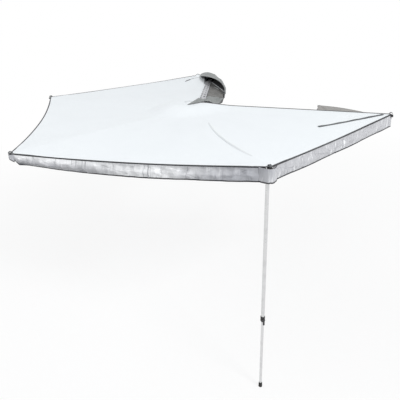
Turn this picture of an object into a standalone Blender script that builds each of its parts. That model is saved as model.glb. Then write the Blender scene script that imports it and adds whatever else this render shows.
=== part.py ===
"""Vehicle side awning: a four-arm fan canopy on a roof-bar rail, with one telescopic pole.

Units are metres. The origin is the underside of the rear bracket's foot, where it sits on the
roof bar. +X points to the vehicle's right, +Y to its front, +Z up.
"""
import math

import bmesh
import bpy
from mathutils import Matrix, Vector

GAP = 0.0004

# Where things stand: the arms' common pin, and each arm's angle from straight ahead
PIN_X, PIN_Y = -0.200, -0.560
ARM_ANGLES = (67.5, 139.0, 202.2, 255.6)
ARM_1_Z = 0.088
ARM_PITCH = 0.024
ARM_LENGTH = 1.850
GROUND_Z = -1.825

# Arms: rectangular tube, cast knuckle, plastic end cap
ARM_WIDTH, ARM_HEIGHT, ARM_WALL, ARM_CORNER = 0.036, 0.022, 0.0018, 0.002
TUBE_START = 0.042
TUBE_ENDS = (1.838, 1.828, 1.838, 1.838)
CAP_NOSES = (0.018, 0.007, 0.018, 0.018)
CAP_FLANGE, CAP_PLUG = 0.004, 0.030
KNUCKLE_RADIUS = 0.018
TONGUE_END = 0.100
PIN_RADIUS, BORE_RADIUS = 0.0060, 0.0064
RIVET_PLACES = (0.060, 0.085)
RIVET_RADIUS, RIVET_HEAD, RIVET_PROUD = 0.0024, 0.0046, 0.0014
THRUST_HEIGHT = 0.0016

# Mounting rail along the vehicle
RAIL_LEFT, RAIL_RIGHT, RAIL_LOW, RAIL_HIGH = -0.145, -0.105, 0.012, 0.092
RAIL_REAR, RAIL_FRONT = -0.545, 1.310
RAIL_WALL = 0.0025
SLOT_HEIGHTS = (0.036, 0.068)
SLOT_MOUTH, SLOT_WIDTH, SLOT_DEPTH = 0.0092, 0.0165, 0.0070
GROOVE_X, GROOVE_Z, GROOVE_RADIUS, GROOVE_MOUTH = -0.136, 0.0862, 0.0038, 0.0030

# Brackets on the roof bars
BRACKET_PLACES = {"rear_bracket": 0.0, "front_bracket": 0.700}
PLATE = 0.005
BRACKET_WIDTH, BRACKET_TOP, BRACKET_REACH = 0.050, 0.086, 0.050
BAR_BOLT_PLACES = (-0.020, 0.032)
BOLT_RADIUS, HOLE_RADIUS, NUT_FLATS, NUT_HEIGHT = 0.0040, 0.0045, 0.013, 0.0064

# Hinge at the rail's rear end
HINGE_REAR, HINGE_FRONT = -0.540, -0.440
HINGE_LOW = 0.020
LOWER_PLATE, UPPER_PLATE = (0.070, 0.075), (0.173, 0.178)
BOSS_RADIUS = 0.020
HINGE_BOLT_Y, HINGE_BOLT_Z = (-0.520, -0.465), (0.034, 0.056)
HINGE_BOLT_RADIUS = 0.003

# Canopy, one skin in four panels, and its two hanging valances
CLOTH = 0.0016
SEAM = 0.0006
CANOPY_REST = 0.0022
HUB_RADIUS, HUB_HEIGHT = 0.052, 0.190
HUB_FLAT, HUB_SLOPE_END = 0.12, 0.45
RAIL_EDGE_X, RAIL_EDGE_Z, RAIL_EDGE_END = -0.152, 0.0965, 1.300
PANEL_CUT = (0.010, 0.060, 0.020, 0.006)
PANEL_SAG = (0.010, 0.020, 0.030, 0.012)
FRONT_EDGE_LIFT = 0.0555
PANEL_CELLS, PANEL_ROWS = 9, 10
ARM_FLAT = 0.022
VALANCE_DROP, VALANCE_SLANT, VALANCE_SHORTER = 0.105, 0.075, 0.018
VALANCE_WAVE = 0.007

# Pole beside the third arm's end, on the side that trails as the arms fold
POLE_REACH, POLE_OFFSET, POLE_DROP = 1.745, -0.034, 0.004
EYE_RADIUS, EYE_HALF = 0.013, 0.009
UPPER_OUTER, UPPER_INNER = 0.0140, 0.0126
LOWER_OUTER, LOWER_INNER = 0.0110, 0.0096
COLLAR_Z = -1.136
COLLAR_HEIGHT, COLLAR_RADIUS = 0.046, 0.0175
TUBE_SEAT = 0.004
LEVER_UP, LEVER_OUT = -0.0045, 0.0195
POLE_OVERLAP = 0.150
FOOT_RADIUS, FOOT_HEIGHT = 0.0155, 0.045

# Storage bag, its lid opened from the rear
LID_REAR, LID_FRONT = 0.175, 1.308
LID_START_DEG, LID_END_DEG, LID_GROWTH = 10.0, 175.0, 1.1
LID_RIGHT_REAR, LID_RIGHT_FRONT, LID_TAPER = 0.125, -0.062, 2.09
LID_LEFT, LID_FOOT_Z = -0.270, 0.109
LID_RISE_REAR, LID_RISE_FRONT = 0.129, 0.057
BAG_SKIN, BAG_FLOOR_Z, BAG_REAR, BAG_LEFT = 0.0025, 0.0937, 0.036, -0.119

for stale in list(bpy.data.objects):
    bpy.data.objects.remove(stale, do_unlink=True)


def finish(name, color, roughness, metallic=0.0):
    """A Principled material."""
    material = bpy.data.materials.new(name)
    material.use_nodes = True
    shader = material.node_tree.nodes["Principled BSDF"]
    shader.inputs["Base Color"].default_value = (*color, 1.0)
    shader.inputs["Roughness"].default_value = roughness
    shader.inputs["Metallic"].default_value = metallic
    return material


ALUMINIUM = ("aluminium", (0.72, 0.73, 0.74), 0.38, 0.9)
CAST = ("cast_aluminium", (0.55, 0.56, 0.57), 0.5, 0.8)
STEEL = ("black_steel", (0.06, 0.06, 0.065), 0.45, 0.6)
ZINC = ("zinc_steel", (0.6, 0.6, 0.58), 0.35, 0.9)
PLASTIC = ("black_plastic", (0.025, 0.025, 0.028), 0.5)
RUBBER = ("black_rubber", (0.02, 0.02, 0.02), 0.8)
CANVAS = ("white_canvas", (0.84, 0.87, 0.89), 0.75)
SILVER_CLOTH = ("silver_cloth", (0.62, 0.63, 0.65), 0.45)
BAG_CLOTH = ("grey_bag_cloth", (0.33, 0.35, 0.34), 0.6)
BAG_LINING = ("black_lining", (0.03, 0.03, 0.035), 0.7)
FLAP_CLOTH = ("taupe_cloth", (0.45, 0.43, 0.41), 0.7)
WEBBING = ("grey_webbing", (0.09, 0.10, 0.11), 0.85)


def axis_empty(name, place, turn=0.0, parent=None):
    """An empty on a joint's axis, turned about Z."""
    empty = bpy.data.objects.new(name, None)
    bpy.context.scene.collection.objects.link(empty)
    empty.location = place
    empty.rotation_euler = (0.0, 0.0, math.radians(turn))
    empty.parent = parent
    return empty


def piece(name, bm, look, parent=None):
    """Make an object from a bmesh, round faces smooth and edges sharp."""
    bmesh.ops.remove_doubles(bm, verts=bm.verts, dist=1e-6)
    bmesh.ops.recalc_face_normals(bm, faces=bm.faces)
    mesh = bpy.data.meshes.new(name)
    bm.to_mesh(mesh)
    bm.free()
    mesh.shade_smooth()
    mesh.set_sharp_from_angle(angle=math.radians(35))
    made = bpy.data.objects.new(name, mesh)
    bpy.context.scene.collection.objects.link(made)
    made.data.materials.append(finish(f"{name}_{look[0]}", *look[1:]))
    made.parent = parent
    return made


def tool(name, bm, parent=None):
    """A hidden cutter or joined-on shape for a Boolean."""
    made = piece(name, bm, PLASTIC, parent)
    made.hide_render = True
    made.display_type = "WIRE"
    return made


def boolean(target, operand, operation):
    """Cut or join one shape with another."""
    modifier = target.modifiers.new(f"{operation.title()} {operand.name}", "BOOLEAN")
    modifier.operation = operation
    modifier.object = operand


def rounded(target, width, segments=2):
    """A Bevel modifier on the sharp edges."""
    modifier = target.modifiers.new("Rounded edges", "BEVEL")
    modifier.width = width
    modifier.segments = segments
    modifier.limit_method = "ANGLE"
    modifier.angle_limit = math.radians(40)


def mix(a, b, share):
    """Part of the way from one number to another."""
    return a + (b - a) * share


def smooth_rise(value, low, high):
    """0 below low, 1 above high, an easy curve between."""
    share = min(max((value - low) / (high - low), 0.0), 1.0)
    return share * share * (3.0 - 2.0 * share)


def arc(centre, radius, start, end, steps):
    """Points on an arc, angles in degrees, both ends included."""
    points = []
    for step in range(steps + 1):
        angle = math.radians(start + (end - start) * step / steps)
        points.append((centre[0] + radius * math.cos(angle), centre[1] + radius * math.sin(angle)))
    return points


def ring(radius, sides, centre=(0.0, 0.0)):
    """A closed round outline."""
    return arc(centre, radius, 0.0, 360.0 * (sides - 1) / sides, sides - 1)


def hexagon(across_flats, centre=(0.0, 0.0)):
    """A nut's outline."""
    return ring(across_flats / 2 / math.cos(math.radians(30)), 6, centre)


def box_outline(low_a, high_a, low_b, high_b, corner=0.0, steps=2):
    """A rectangle, its corners rounded if a radius is given."""
    if not corner:
        return [(low_a, low_b), (high_a, low_b), (high_a, high_b), (low_a, high_b)]
    points = arc((high_a - corner, low_b + corner), corner, -90, 0, steps)
    points += arc((high_a - corner, high_b - corner), corner, 0, 90, steps)
    points += arc((low_a + corner, high_b - corner), corner, 90, 180, steps)
    points += arc((low_a + corner, low_b + corner), corner, 180, 270, steps)
    return points


def spot(a, b, c, plane):
    """A point from its two outline coordinates and its height above the outline's plane."""
    return {"XY": (a, b, c), "XZ": (a, c, b), "YZ": (c, a, b)}[plane]


def prism(bm, outline, low, high, holes=(), plane="XY"):
    """Fill an outline round its holes and extrude it from low to high."""
    edges = []
    for loop in (outline, *holes):
        verts = [bm.verts.new(spot(a, b, low, plane)) for a, b in loop]
        for first, second in zip(verts, verts[1:] + verts[:1]):
            edges.append(bm.edges.new((first, second)))
    filled = bmesh.ops.triangle_fill(bm, use_beauty=True, use_dissolve=False, edges=edges)
    faces = [item for item in filled["geom"] if isinstance(item, bmesh.types.BMFace)]
    grown = bmesh.ops.extrude_face_region(bm, geom=faces, use_keep_orig=True)
    moved = [item for item in grown["geom"] if isinstance(item, bmesh.types.BMVert)]
    bmesh.ops.translate(bm, verts=moved, vec=Vector(spot(0.0, 0.0, high - low, plane)))


def solid(name, look, parent, *prism_args, **prism_options):
    """A piece that is one extruded outline."""
    bm = bmesh.new()
    prism(bm, *prism_args, **prism_options)
    return piece(name, bm, look, parent)


def turned(bm, profile, sides, matrix=Matrix()):
    """Spin a profile of (radius, height) points about Z and place it.

    A profile that starts and ends on the axis is a closed body; any other is closed on itself.
    """
    before = set(bm.verts)
    verts = [bm.verts.new((radius, 0.0, height)) for radius, height in profile]
    pairs = list(zip(verts, verts[1:]))
    if profile[0][0] > 0.0:
        pairs.append((verts[-1], verts[0]))
    edges = [bm.edges.new(pair) for pair in pairs]
    bmesh.ops.spin(
        bm, geom=verts + edges, cent=(0, 0, 0), axis=(0, 0, 1), angle=math.tau, steps=sides,
        use_merge=True,
    )
    new = [vert for vert in bm.verts if vert not in before]
    bmesh.ops.transform(bm, matrix=matrix, verts=new)


def along_x(x, y, z, side=1.0):
    """Turn a part made about Z so that it lies along +X, or -X for side -1, and place it."""
    return Matrix.Translation((x, y, z)) @ Matrix.Rotation(side * math.radians(90), 4, "Y")


def sheet(name, rows, thickness, look, parent=None):
    """A closed skin of even thickness about a grid of points."""
    bm = bmesh.new()
    grid = [[bm.verts.new(point) for point in row] for row in rows]
    for near, far in zip(grid, grid[1:]):
        for column in range(len(near) - 1):
            corners = (near[column], near[column + 1], far[column + 1], far[column])
            bm.faces.new(corners)
    made = piece(name, bm, look, parent)
    made.data.shade_smooth()
    skin = made.modifiers.new("Cloth thickness", "SOLIDIFY")
    skin.thickness = thickness
    skin.offset = 0.0
    return made


# Rail, its caps, the brackets and their fasteners

CHAMBER = (
    RAIL_LEFT + RAIL_WALL,
    RAIL_RIGHT - 2 * RAIL_WALL - SLOT_DEPTH,
    RAIL_LOW + RAIL_WALL,
    GROOVE_Z - GROOVE_RADIUS - RAIL_WALL,
)


def slot_outline(height):
    """A T-slot's inside, from the rail's right face and back, going up."""
    mouth, width = SLOT_MOUTH / 2, SLOT_WIDTH / 2
    lip, back = RAIL_RIGHT - RAIL_WALL, RAIL_RIGHT - RAIL_WALL - SLOT_DEPTH
    return [
        (RAIL_RIGHT, height - mouth), (lip, height - mouth), (lip, height - width),
        (back, height - width), (back, height + width), (lip, height + width),
        (lip, height + mouth), (RAIL_RIGHT, height + mouth),
    ]


def make_rail():
    """The extrusion: hollow box, two T-slots for the brackets, a groove for the canopy's edge."""
    half = math.degrees(math.asin(GROOVE_MOUTH / 2 / GROOVE_RADIUS))
    outline = [(RAIL_LEFT, RAIL_LOW), (RAIL_RIGHT, RAIL_LOW)]
    for height in SLOT_HEIGHTS:
        outline += slot_outline(height)
    outline += [(RAIL_RIGHT, RAIL_HIGH), (GROOVE_X + GROOVE_MOUTH / 2, RAIL_HIGH)]
    outline += arc((GROOVE_X, GROOVE_Z), GROOVE_RADIUS, 90 - half, -270 + half, 10)
    outline += [(GROOVE_X - GROOVE_MOUTH / 2, RAIL_HIGH), (RAIL_LEFT, RAIL_HIGH)]
    rail = solid("mounting_rail", ALUMINIUM, None, outline, RAIL_REAR, RAIL_FRONT,
                 [box_outline(*CHAMBER)], "XZ")
    holes = bmesh.new()
    for place in hinge_bolt_places():
        prism(holes, ring(HINGE_BOLT_RADIUS + GAP, 8, place), RAIL_LEFT - 0.01, RAIL_LEFT + 0.004,
              plane="YZ")
    boolean(rail, tool("cutter_rail_holes", holes), "DIFFERENCE")


def make_rail_caps():
    """Moulded covers on the rail's two ends, each with a plug in the hollow."""
    left, right, low, high = CHAMBER
    plug_outline = box_outline(left + GAP, right - GAP, low + GAP, high - GAP)
    face_outline = box_outline(RAIL_LEFT, RAIL_RIGHT, RAIL_LOW, RAIL_HIGH, 0.003)
    for name, end, out in (("rail_cap_rear", RAIL_REAR, -1), ("rail_cap_front", RAIL_FRONT, 1)):
        cover = sorted((end + out * GAP, end + out * 0.0034))
        cap = solid(name, PLASTIC, None, face_outline, *cover, plane="XZ")
        reach = sorted((end - out * 0.012, end + out * 0.002))
        plug = bmesh.new()
        prism(plug, plug_outline, *reach, plane="XZ")
        boolean(cap, tool(f"{name}_plug", plug), "UNION")


def make_bracket(name, place):
    """A folded steel angle with two gussets: foot on the roof bar, upright on the rail."""
    left = RAIL_RIGHT + GAP
    inner, outer = 0.004, 0.004 + PLATE
    outline = [(BRACKET_REACH, 0.0), (BRACKET_REACH, PLATE)]
    outline += arc((left + outer, outer), inner, 270, 180, 3)
    outline += [(left + PLATE, BRACKET_TOP), (left, BRACKET_TOP)]
    outline += arc((left + outer, outer), outer, 180, 270, 4)
    half = BRACKET_WIDTH / 2
    made = solid(name, STEEL, None, outline, place - half, place + half, plane="XZ")
    ribs = bmesh.new()
    web = [(left + 0.003, 0.003), (left + 0.036, 0.003), (left + 0.036, 0.007),
           (left + 0.009, 0.046), (left + 0.003, 0.046)]
    for side in (-1, 1):
        middle = place + side * (half - 0.0035)
        prism(ribs, web, middle - 0.0015, middle + 0.0015, plane="XZ")
    boolean(made, tool(f"{name}_gussets", ribs), "UNION")
    holes = bmesh.new()
    for height in SLOT_HEIGHTS:
        prism(holes, ring(HOLE_RADIUS, 12, (place, height)), left - 0.01, left + 0.02, plane="YZ")
    reach = 0.004
    for along in BAR_BOLT_PLACES:
        slot = arc((along + reach, place), HOLE_RADIUS, -90, 90, 6)
        slot += arc((along - reach, place), HOLE_RADIUS, 90, 270, 6)
        prism(holes, slot, -0.01, 0.02)
    boolean(made, tool(f"cutter_{name}", holes), "DIFFERENCE")


def make_bolt(name, places, plane, head_outline, head, shank_end, nut_low):
    """A head that sits in a channel, with a threaded shank and a fitted nut at each place."""
    bolt = solid(name, ZINC, None, head_outline, *head, plane=plane)
    shanks, nuts = bmesh.new(), bmesh.new()
    for place in places:
        prism(shanks, ring(BOLT_RADIUS, 12, place), head[1] - 0.002, shank_end, plane=plane)
        prism(nuts, hexagon(NUT_FLATS, place), nut_low, nut_low + NUT_HEIGHT, plane=plane)
    boolean(bolt, tool(f"{name}_shanks", shanks), "UNION")
    boolean(bolt, tool(f"{name}_nuts", nuts), "UNION")


def make_fasteners():
    """A stud plate up through each foot from the roof bar, and T-bolts out of the rail's slots."""
    slot_back = RAIL_RIGHT - RAIL_WALL - SLOT_DEPTH
    lip = RAIL_RIGHT - RAIL_WALL
    face = RAIL_RIGHT + GAP + PLATE + GAP
    half = 0.0075
    for name, place in BRACKET_PLACES.items():
        plate = box_outline(BAR_BOLT_PLACES[0] - 0.012, BAR_BOLT_PLACES[1] + 0.012,
                            place - half, place + half)
        studs = [(along, place) for along in BAR_BOLT_PLACES]
        make_bolt(f"{name}_studs", studs, "XY", plate, (-0.0105, -0.0060), 0.0185, PLATE + GAP)
        for number, height in enumerate(SLOT_HEIGHTS, 1):
            square = box_outline(place - half, place + half, height - half, height + half)
            make_bolt(f"{name}_bolt_{number}", [(place, height)], "YZ", square,
                      (slot_back + GAP, lip - GAP), face + 0.009, face)


# Hinge

def hinge_bolt_places():
    """Centres of the four bolts through the hinge bracket's web, as (Y, Z)."""
    return [(y, z) for y in HINGE_BOLT_Y for z in HINGE_BOLT_Z]


def make_hinge_bracket():
    """A welded steel bracket: web on the rail, two plates that hold the arms' pin, a gusset."""
    web_right = RAIL_LEFT - GAP
    web_left = web_right - PLATE
    bracket = solid("hinge_bracket", STEEL, None,
                    box_outline(web_left, web_right, HINGE_REAR, HINGE_FRONT),
                    HINGE_LOW, UPPER_PLATE[1])
    plate = [(web_right - 0.001, HINGE_REAR), (web_right - 0.001, HINGE_FRONT)]
    plate += [(web_left - 0.008, HINGE_FRONT)]
    plate += arc((PIN_X, PIN_Y), BOSS_RADIUS, 151, 310, 10)
    plates = bmesh.new()
    bore = ring(BORE_RADIUS, 16, (PIN_X, PIN_Y))
    prism(plates, plate, *LOWER_PLATE, [bore])
    prism(plates, plate, UPPER_PLATE[0], UPPER_PLATE[1] - 0.0002, [bore])
    boolean(bracket, tool("hinge_plates", plates), "UNION")
    middle = (HINGE_BOLT_Y[0] + HINGE_BOLT_Y[1]) / 2
    rib = [(web_right - 0.001, LOWER_PLATE[0] + 0.001), (web_left - 0.022, LOWER_PLATE[0] + 0.001),
           (web_left - 0.022, LOWER_PLATE[0] - 0.003), (web_left - 0.002, 0.032),
           (web_right - 0.001, 0.032)]
    gusset = bmesh.new()
    prism(gusset, rib, middle - 0.002, middle + 0.002, plane="XZ")
    boolean(bracket, tool("hinge_gusset", gusset), "UNION")
    holes = bmesh.new()
    for place in hinge_bolt_places():
        prism(holes, ring(HINGE_BOLT_RADIUS + GAP, 8, place), web_left - 0.01, web_right + 0.01,
              plane="YZ")
    boolean(bracket, tool("cutter_hinge_holes", holes), "DIFFERENCE")
    for number, place in enumerate(hinge_bolt_places(), 1):
        bolt = solid(f"hinge_bolt_{number}", ZINC, None, hexagon(0.010, place),
                     web_left - GAP - 0.004, web_left - GAP, plane="YZ")
        shank = bmesh.new()
        prism(shank, ring(HINGE_BOLT_RADIUS, 8, place), web_left - 0.002, RAIL_LEFT + 0.006,
              plane="YZ")
        boolean(bolt, tool(f"hinge_bolt_{number}_shank", shank), "UNION")


def make_pivot():
    """The pin through plates and knuckles, its nut, and the washer at the top of the stack."""
    low, high = LOWER_PLATE[0] - 0.014, UPPER_PLATE[1] + GAP
    profile = [(0.0, low), (PIN_RADIUS - 0.001, low), (PIN_RADIUS, low + 0.001),
               (PIN_RADIUS, high), (0.010, high), (0.010, high + 0.0025), (0.007, high + 0.0048),
               (0.0, high + 0.0052)]
    pin = bmesh.new()
    turned(pin, profile, 16, Matrix.Translation((PIN_X, PIN_Y, 0.0)))
    piece("pivot_pin", pin, ZINC)
    centre = (PIN_X, PIN_Y)
    nut_top = LOWER_PLATE[0] - GAP
    solid("pivot_nut", ZINC, None, hexagon(0.019, centre), nut_top - 0.010, nut_top,
          [ring(PIN_RADIUS + GAP, 16, centre)])
    washer_low = ARM_1_Z + (len(ARM_ANGLES) - 1) * ARM_PITCH + ARM_HEIGHT / 2 + GAP
    solid("pivot_washer", ZINC, None, ring(0.014, 16, centre), washer_low,
          UPPER_PLATE[0] - GAP, [ring(PIN_RADIUS + GAP, 16, centre)])


# Arms, each modelled along the +Y of its own axis empty

def make_arm(index, axis):
    """One arm: knuckle on the pin, tube with the rivets that hold its tongue, end cap."""
    name = f"arm_{index + 1}"
    z = ARM_1_Z + index * ARM_PITCH
    half_w, half_h = ARM_WIDTH / 2, ARM_HEIGHT / 2
    skin = ARM_WALL
    outside = box_outline(-half_w, half_w, z - half_h, z + half_h, ARM_CORNER)
    inside = box_outline(-half_w + skin, half_w - skin, z - half_h + skin, z + half_h - skin)
    fit = skin + GAP
    snug = box_outline(-half_w + fit, half_w - fit, z - half_h + fit, z + half_h - fit)
    end = TUBE_ENDS[index]

    tube = solid(f"{name}_tube", ALUMINIUM, axis, outside, TUBE_START, end, [inside], "XZ")
    if index == 2:
        bolt_hole = bmesh.new()
        prism(bolt_hole, ring(HOLE_RADIUS, 12, (POLE_REACH, z - POLE_DROP)), -0.03, 0.03,
              plane="YZ")
        boolean(tube, tool(f"cutter_{name}", bolt_hole, axis), "DIFFERENCE")
    rivets = bmesh.new()
    tip, head = half_w + RIVET_PROUD, half_w - 0.0005
    profile = [(0.0, -tip), (RIVET_HEAD * 0.7, -tip + 0.0004), (RIVET_HEAD, -head),
               (RIVET_RADIUS, -head), (RIVET_RADIUS, head), (RIVET_HEAD, head),
               (RIVET_HEAD * 0.7, tip - 0.0004), (0.0, tip)]
    for place in RIVET_PLACES:
        turned(rivets, profile, 10, along_x(0.0, place, z))
    boolean(tube, tool(f"{name}_rivets", rivets, axis), "UNION")

    boss = arc((0.0, 0.0), KNUCKLE_RADIUS, 180, 360, 12)
    boss += [(half_w, TUBE_START - GAP), (-half_w, TUBE_START - GAP)]
    knuckle = solid(f"{name}_knuckle", CAST, axis, boss, z - half_h, z + half_h,
                    [ring(BORE_RADIUS, 12)])
    thrust = bmesh.new()
    prism(thrust, ring(0.014, 12), z - half_h - THRUST_HEIGHT, z - half_h + 0.001,
          [ring(BORE_RADIUS + 0.002, 12)])
    boolean(knuckle, tool(f"{name}_thrust_ring", thrust, axis), "UNION")
    tongue = bmesh.new()
    prism(tongue, snug, TUBE_START - 0.004, TONGUE_END, plane="XZ")
    boolean(knuckle, tool(f"{name}_tongue", tongue, axis), "UNION")
    rivet_bores = bmesh.new()
    for place in RIVET_PLACES:
        prism(rivet_bores, ring(RIVET_RADIUS + GAP, 10, (place, z)), -0.03, 0.03, plane="YZ")
    boolean(knuckle, tool(f"cutter_{name}_knuckle", rivet_bores, axis), "DIFFERENCE")

    cap_start = end + GAP
    cap = solid(f"{name}_cap", PLASTIC, axis, outside, cap_start, cap_start + CAP_FLANGE,
                plane="XZ")
    nose = bmesh.new()
    inset = 0.002
    core = box_outline(-half_w + inset, half_w - inset, z - half_h + inset, z + half_h - inset,
                       0.007, 3)
    prism(nose, core, cap_start + 0.001, cap_start + CAP_FLANGE + CAP_NOSES[index], plane="XZ")
    nose_tool = tool(f"{name}_nose", nose, axis)
    rounded(nose_tool, 0.004, 2)
    boolean(cap, nose_tool, "UNION")
    plug = bmesh.new()
    prism(plug, snug, end - CAP_PLUG, cap_start + 0.001, plane="XZ")
    boolean(cap, tool(f"{name}_plug", plug, axis), "UNION")


# Canopy

def arm_direction(angle):
    """Along an arm, and across it towards the next arm."""
    turn = math.radians(angle)
    return Vector((-math.sin(turn), math.cos(turn))), Vector((-math.cos(turn), -math.sin(turn)))


def arm_spot(angle, radius, across=0.0):
    """A place by its distance from the pin along an arm and its distance to the arm's side."""
    ahead, side = arm_direction(angle)
    return Vector((PIN_X, PIN_Y)) + ahead * radius + side * across


def canopy_level(index):
    """Height of the canopy's middle over an arm."""
    return ARM_1_Z + index * ARM_PITCH + ARM_HEIGHT / 2 + CANOPY_REST


def draped(place, height):
    """Height of cloth that rises over the hinge."""
    radius = math.hypot(place[0] - PIN_X, place[1] - PIN_Y)
    return mix(HUB_HEIGHT, height, smooth_rise(radius, HUB_FLAT, HUB_SLOPE_END))


def panel_frame(index):
    """A panel's start and end: hub angles, outer corners, heights, and how the sides run."""
    end_angle = ARM_ANGLES[index]
    end = (end_angle, end_angle, arm_spot(end_angle, ARM_LENGTH), canopy_level(index))
    if index == 0:
        hub_angle = -math.degrees(math.asin((RAIL_EDGE_X - PIN_X) / HUB_RADIUS))
        return (hub_angle, 0.0, Vector((RAIL_EDGE_X, RAIL_EDGE_END)), RAIL_EDGE_Z), end
    angle = ARM_ANGLES[index - 1]
    return (angle, angle, arm_spot(angle, ARM_LENGTH), canopy_level(index - 1)), end


def edge_spot(index, share):
    """A point on a panel's outer edge, which curves in between its corners."""
    start, end = panel_frame(index)
    chord = end[2] - start[2]
    outward = Vector((chord.y, -chord.x)).normalized()
    return start[2] + chord * share - outward * 4 * PANEL_CUT[index] * share * (1 - share)


def edge_share(index, from_end, distance):
    """How far along the outer edge a point lies that is this far beside the nearer arm."""
    start, end = panel_frame(index)
    side = arm_direction(end[1] if from_end else start[1])[1]
    share = distance / (end[2] - start[2]).dot(side)
    return 1 - share if from_end else share


def panel_height(index, rise, outward):
    """Height between the two arms, sagging in the middle and more towards the outer edge."""
    start, end = panel_frame(index)
    sag = PANEL_SAG[index] * math.sin(math.pi * rise) * outward ** 1.2
    return mix(start[3], end[3], rise) - sag


def front_lift(share, outward):
    """The front edge is held up where it leaves the bag, and runs straight to the first arm."""
    rise = FRONT_EDGE_LIFT * (1 - share) * smooth_rise(share, 0.010, 0.119)
    return rise * smooth_rise(outward, 0.60, 1.0)


def panel_columns(index):
    """Each column's place on the hub, place on the outer edge, and share of the way across."""
    start, end = panel_frame(index)
    width = HUB_RADIUS * math.radians(end[0] - start[0])
    flat = min(ARM_FLAT, 0.3 * width) / width
    low, high = edge_share(index, False, ARM_FLAT), edge_share(index, True, ARM_FLAT)
    columns = [(SEAM / width, edge_share(index, False, SEAM), 0.0)]
    for cell in range(PANEL_CELLS + 1):
        rise = cell / PANEL_CELLS
        columns.append((mix(flat, 1 - flat, rise), mix(low, high, rise), rise))
    columns.append((1 - SEAM / width, edge_share(index, True, SEAM), 1.0))
    return columns


def panel_rows(index):
    """The panel's grid of points, from the hub out to its edge."""
    start, end = panel_frame(index)
    rows = []
    for step in range(PANEL_ROWS + 1):
        outward = (step / PANEL_ROWS) ** 1.5
        row = []
        for hub_share, share, rise in panel_columns(index):
            hub = arm_spot(mix(start[0], end[0], hub_share), HUB_RADIUS)
            place = hub.lerp(edge_spot(index, share), outward)
            lift = front_lift(share, outward) if index == 0 else 0.0
            row.append((*place, draped(place, panel_height(index, rise, outward)) + lift))
        rows.append(row)
    return rows


def make_panels():
    """Four panels whose seams lie over the arms."""
    for index in range(len(ARM_ANGLES)):
        sheet(f"canopy_panel_{index + 1}", panel_rows(index), CLOTH, CANVAS)


def make_valance(name, index, slanted, columns):
    """A strip of cloth that hangs from a panel's outer edge in soft folds.

    Near an arm's end it starts under the arm. A slanted one runs out to nothing at its start.
    """
    start, end = panel_frame(index)
    length = (end[2] - start[2]).length
    first = edge_share(index, False, SEAM)
    last = edge_share(index, True, SEAM)
    arm_band = [edge_share(index, False, ARM_FLAT), edge_share(index, True, ARM_FLAT)]
    shares = {mix(first, last, step / columns) for step in range(columns + 1)}
    near = {share for share in shares if min(abs(share - band) for band in arm_band) > 0.004}
    for band in arm_band:
        near.update((band - 0.0012, band + 0.0012))
    outward = Vector(((end[2] - start[2]).y, -(end[2] - start[2]).x)).normalized()
    depths = 4
    rows = [[] for _ in range(depths + 1)]
    for share in sorted(value for value in near if first <= value <= last):
        place = edge_spot(index, share)
        rise = min(max((share - arm_band[0]) / (arm_band[1] - arm_band[0]), 0.0), 1.0)
        top = panel_height(index, rise, 1.0) - CLOTH / 2 - 0.0012
        bottom = top - VALANCE_DROP
        if share < arm_band[0]:
            top -= ARM_HEIGHT + 0.003
        if share > arm_band[1]:
            top -= ARM_HEIGHT + 0.003
        run = share * length
        if slanted:
            bottom += VALANCE_SHORTER * (1 - smooth_rise(run, 0.0, 0.40))
            bottom = mix(top - 0.004, bottom, min(run / VALANCE_SLANT, 1.0))
        calm = smooth_rise(run, 0.0, 0.20) * smooth_rise(length - run, 0.10, 0.30)
        for row in range(depths + 1):
            depth = row / depths
            fold = math.sin(run * 31.0 + 0.6) + 0.6 * math.sin(run * 67.0 - depth * 1.4)
            spot_xy = place + outward * (VALANCE_WAVE * calm * fold * depth)
            rows[row].append((*spot_xy, mix(top, bottom, depth)))
    sheet(name, rows, CLOTH, SILVER_CLOTH)


def make_side_flap(axis_angle):
    """The tie-down flap from the last arm to the roof bar's right end, with its tab and hook."""
    root_low, root_high = 1.195, 1.655
    clear = ARM_WIDTH / 2 + 0.002
    apex = Vector((1.128, -0.060))
    level = canopy_level(3) - 0.004
    cells = 10
    rows = []
    for step in range(cells + 1):
        down = step / cells
        start = arm_spot(axis_angle, root_low, clear).lerp(apex - Vector((0.012, 0.0)), down)
        end = arm_spot(axis_angle, root_high, clear).lerp(apex + Vector((0.012, 0.0)), down)
        row = []
        for cell in range(5):
            across = cell / 4
            place = start.lerp(end, across)
            sag = 0.030 * math.sin(math.pi * down) * (1 - 0.85 * across)
            sag += 0.010 * math.sin(math.pi * across) * (1 - down)
            fold = 0.004 * math.sin(across * 9.0 + down * 3.0) * math.sin(math.pi * down)
            row.append((*place, mix(level, 0.0285, down) - sag + fold))
        rows.append(row)
    sheet("side_flap", rows, 0.0012, FLAP_CLOTH)
    tab = []
    for step in range(5):
        along = step / 4
        y = mix(-0.0585, -0.0125, along)
        z = mix(0.0285, 0.0195, along)
        tab.append([(1.128 - 0.0125, y, z), (1.128 + 0.0125, y, z)])
    sheet("flap_tab", tab, 0.0015, WEBBING)
    hook = bmesh.new()
    outline = [(-0.010, 0.0), (0.022, 0.0), (0.022, 0.003), (0.003, 0.003)]
    outline += arc((-0.0035, 0.012), 0.0065, 0, 150, 5)
    outline += arc((-0.0035, 0.012), 0.0037, 150, 0, 4)
    outline += [(0.0002, 0.003), (-0.010, 0.003)]
    prism(hook, outline, 1.128 - 0.009, 1.128 + 0.009, plane="YZ")
    piece("flap_hook", hook, PLASTIC)


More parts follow.
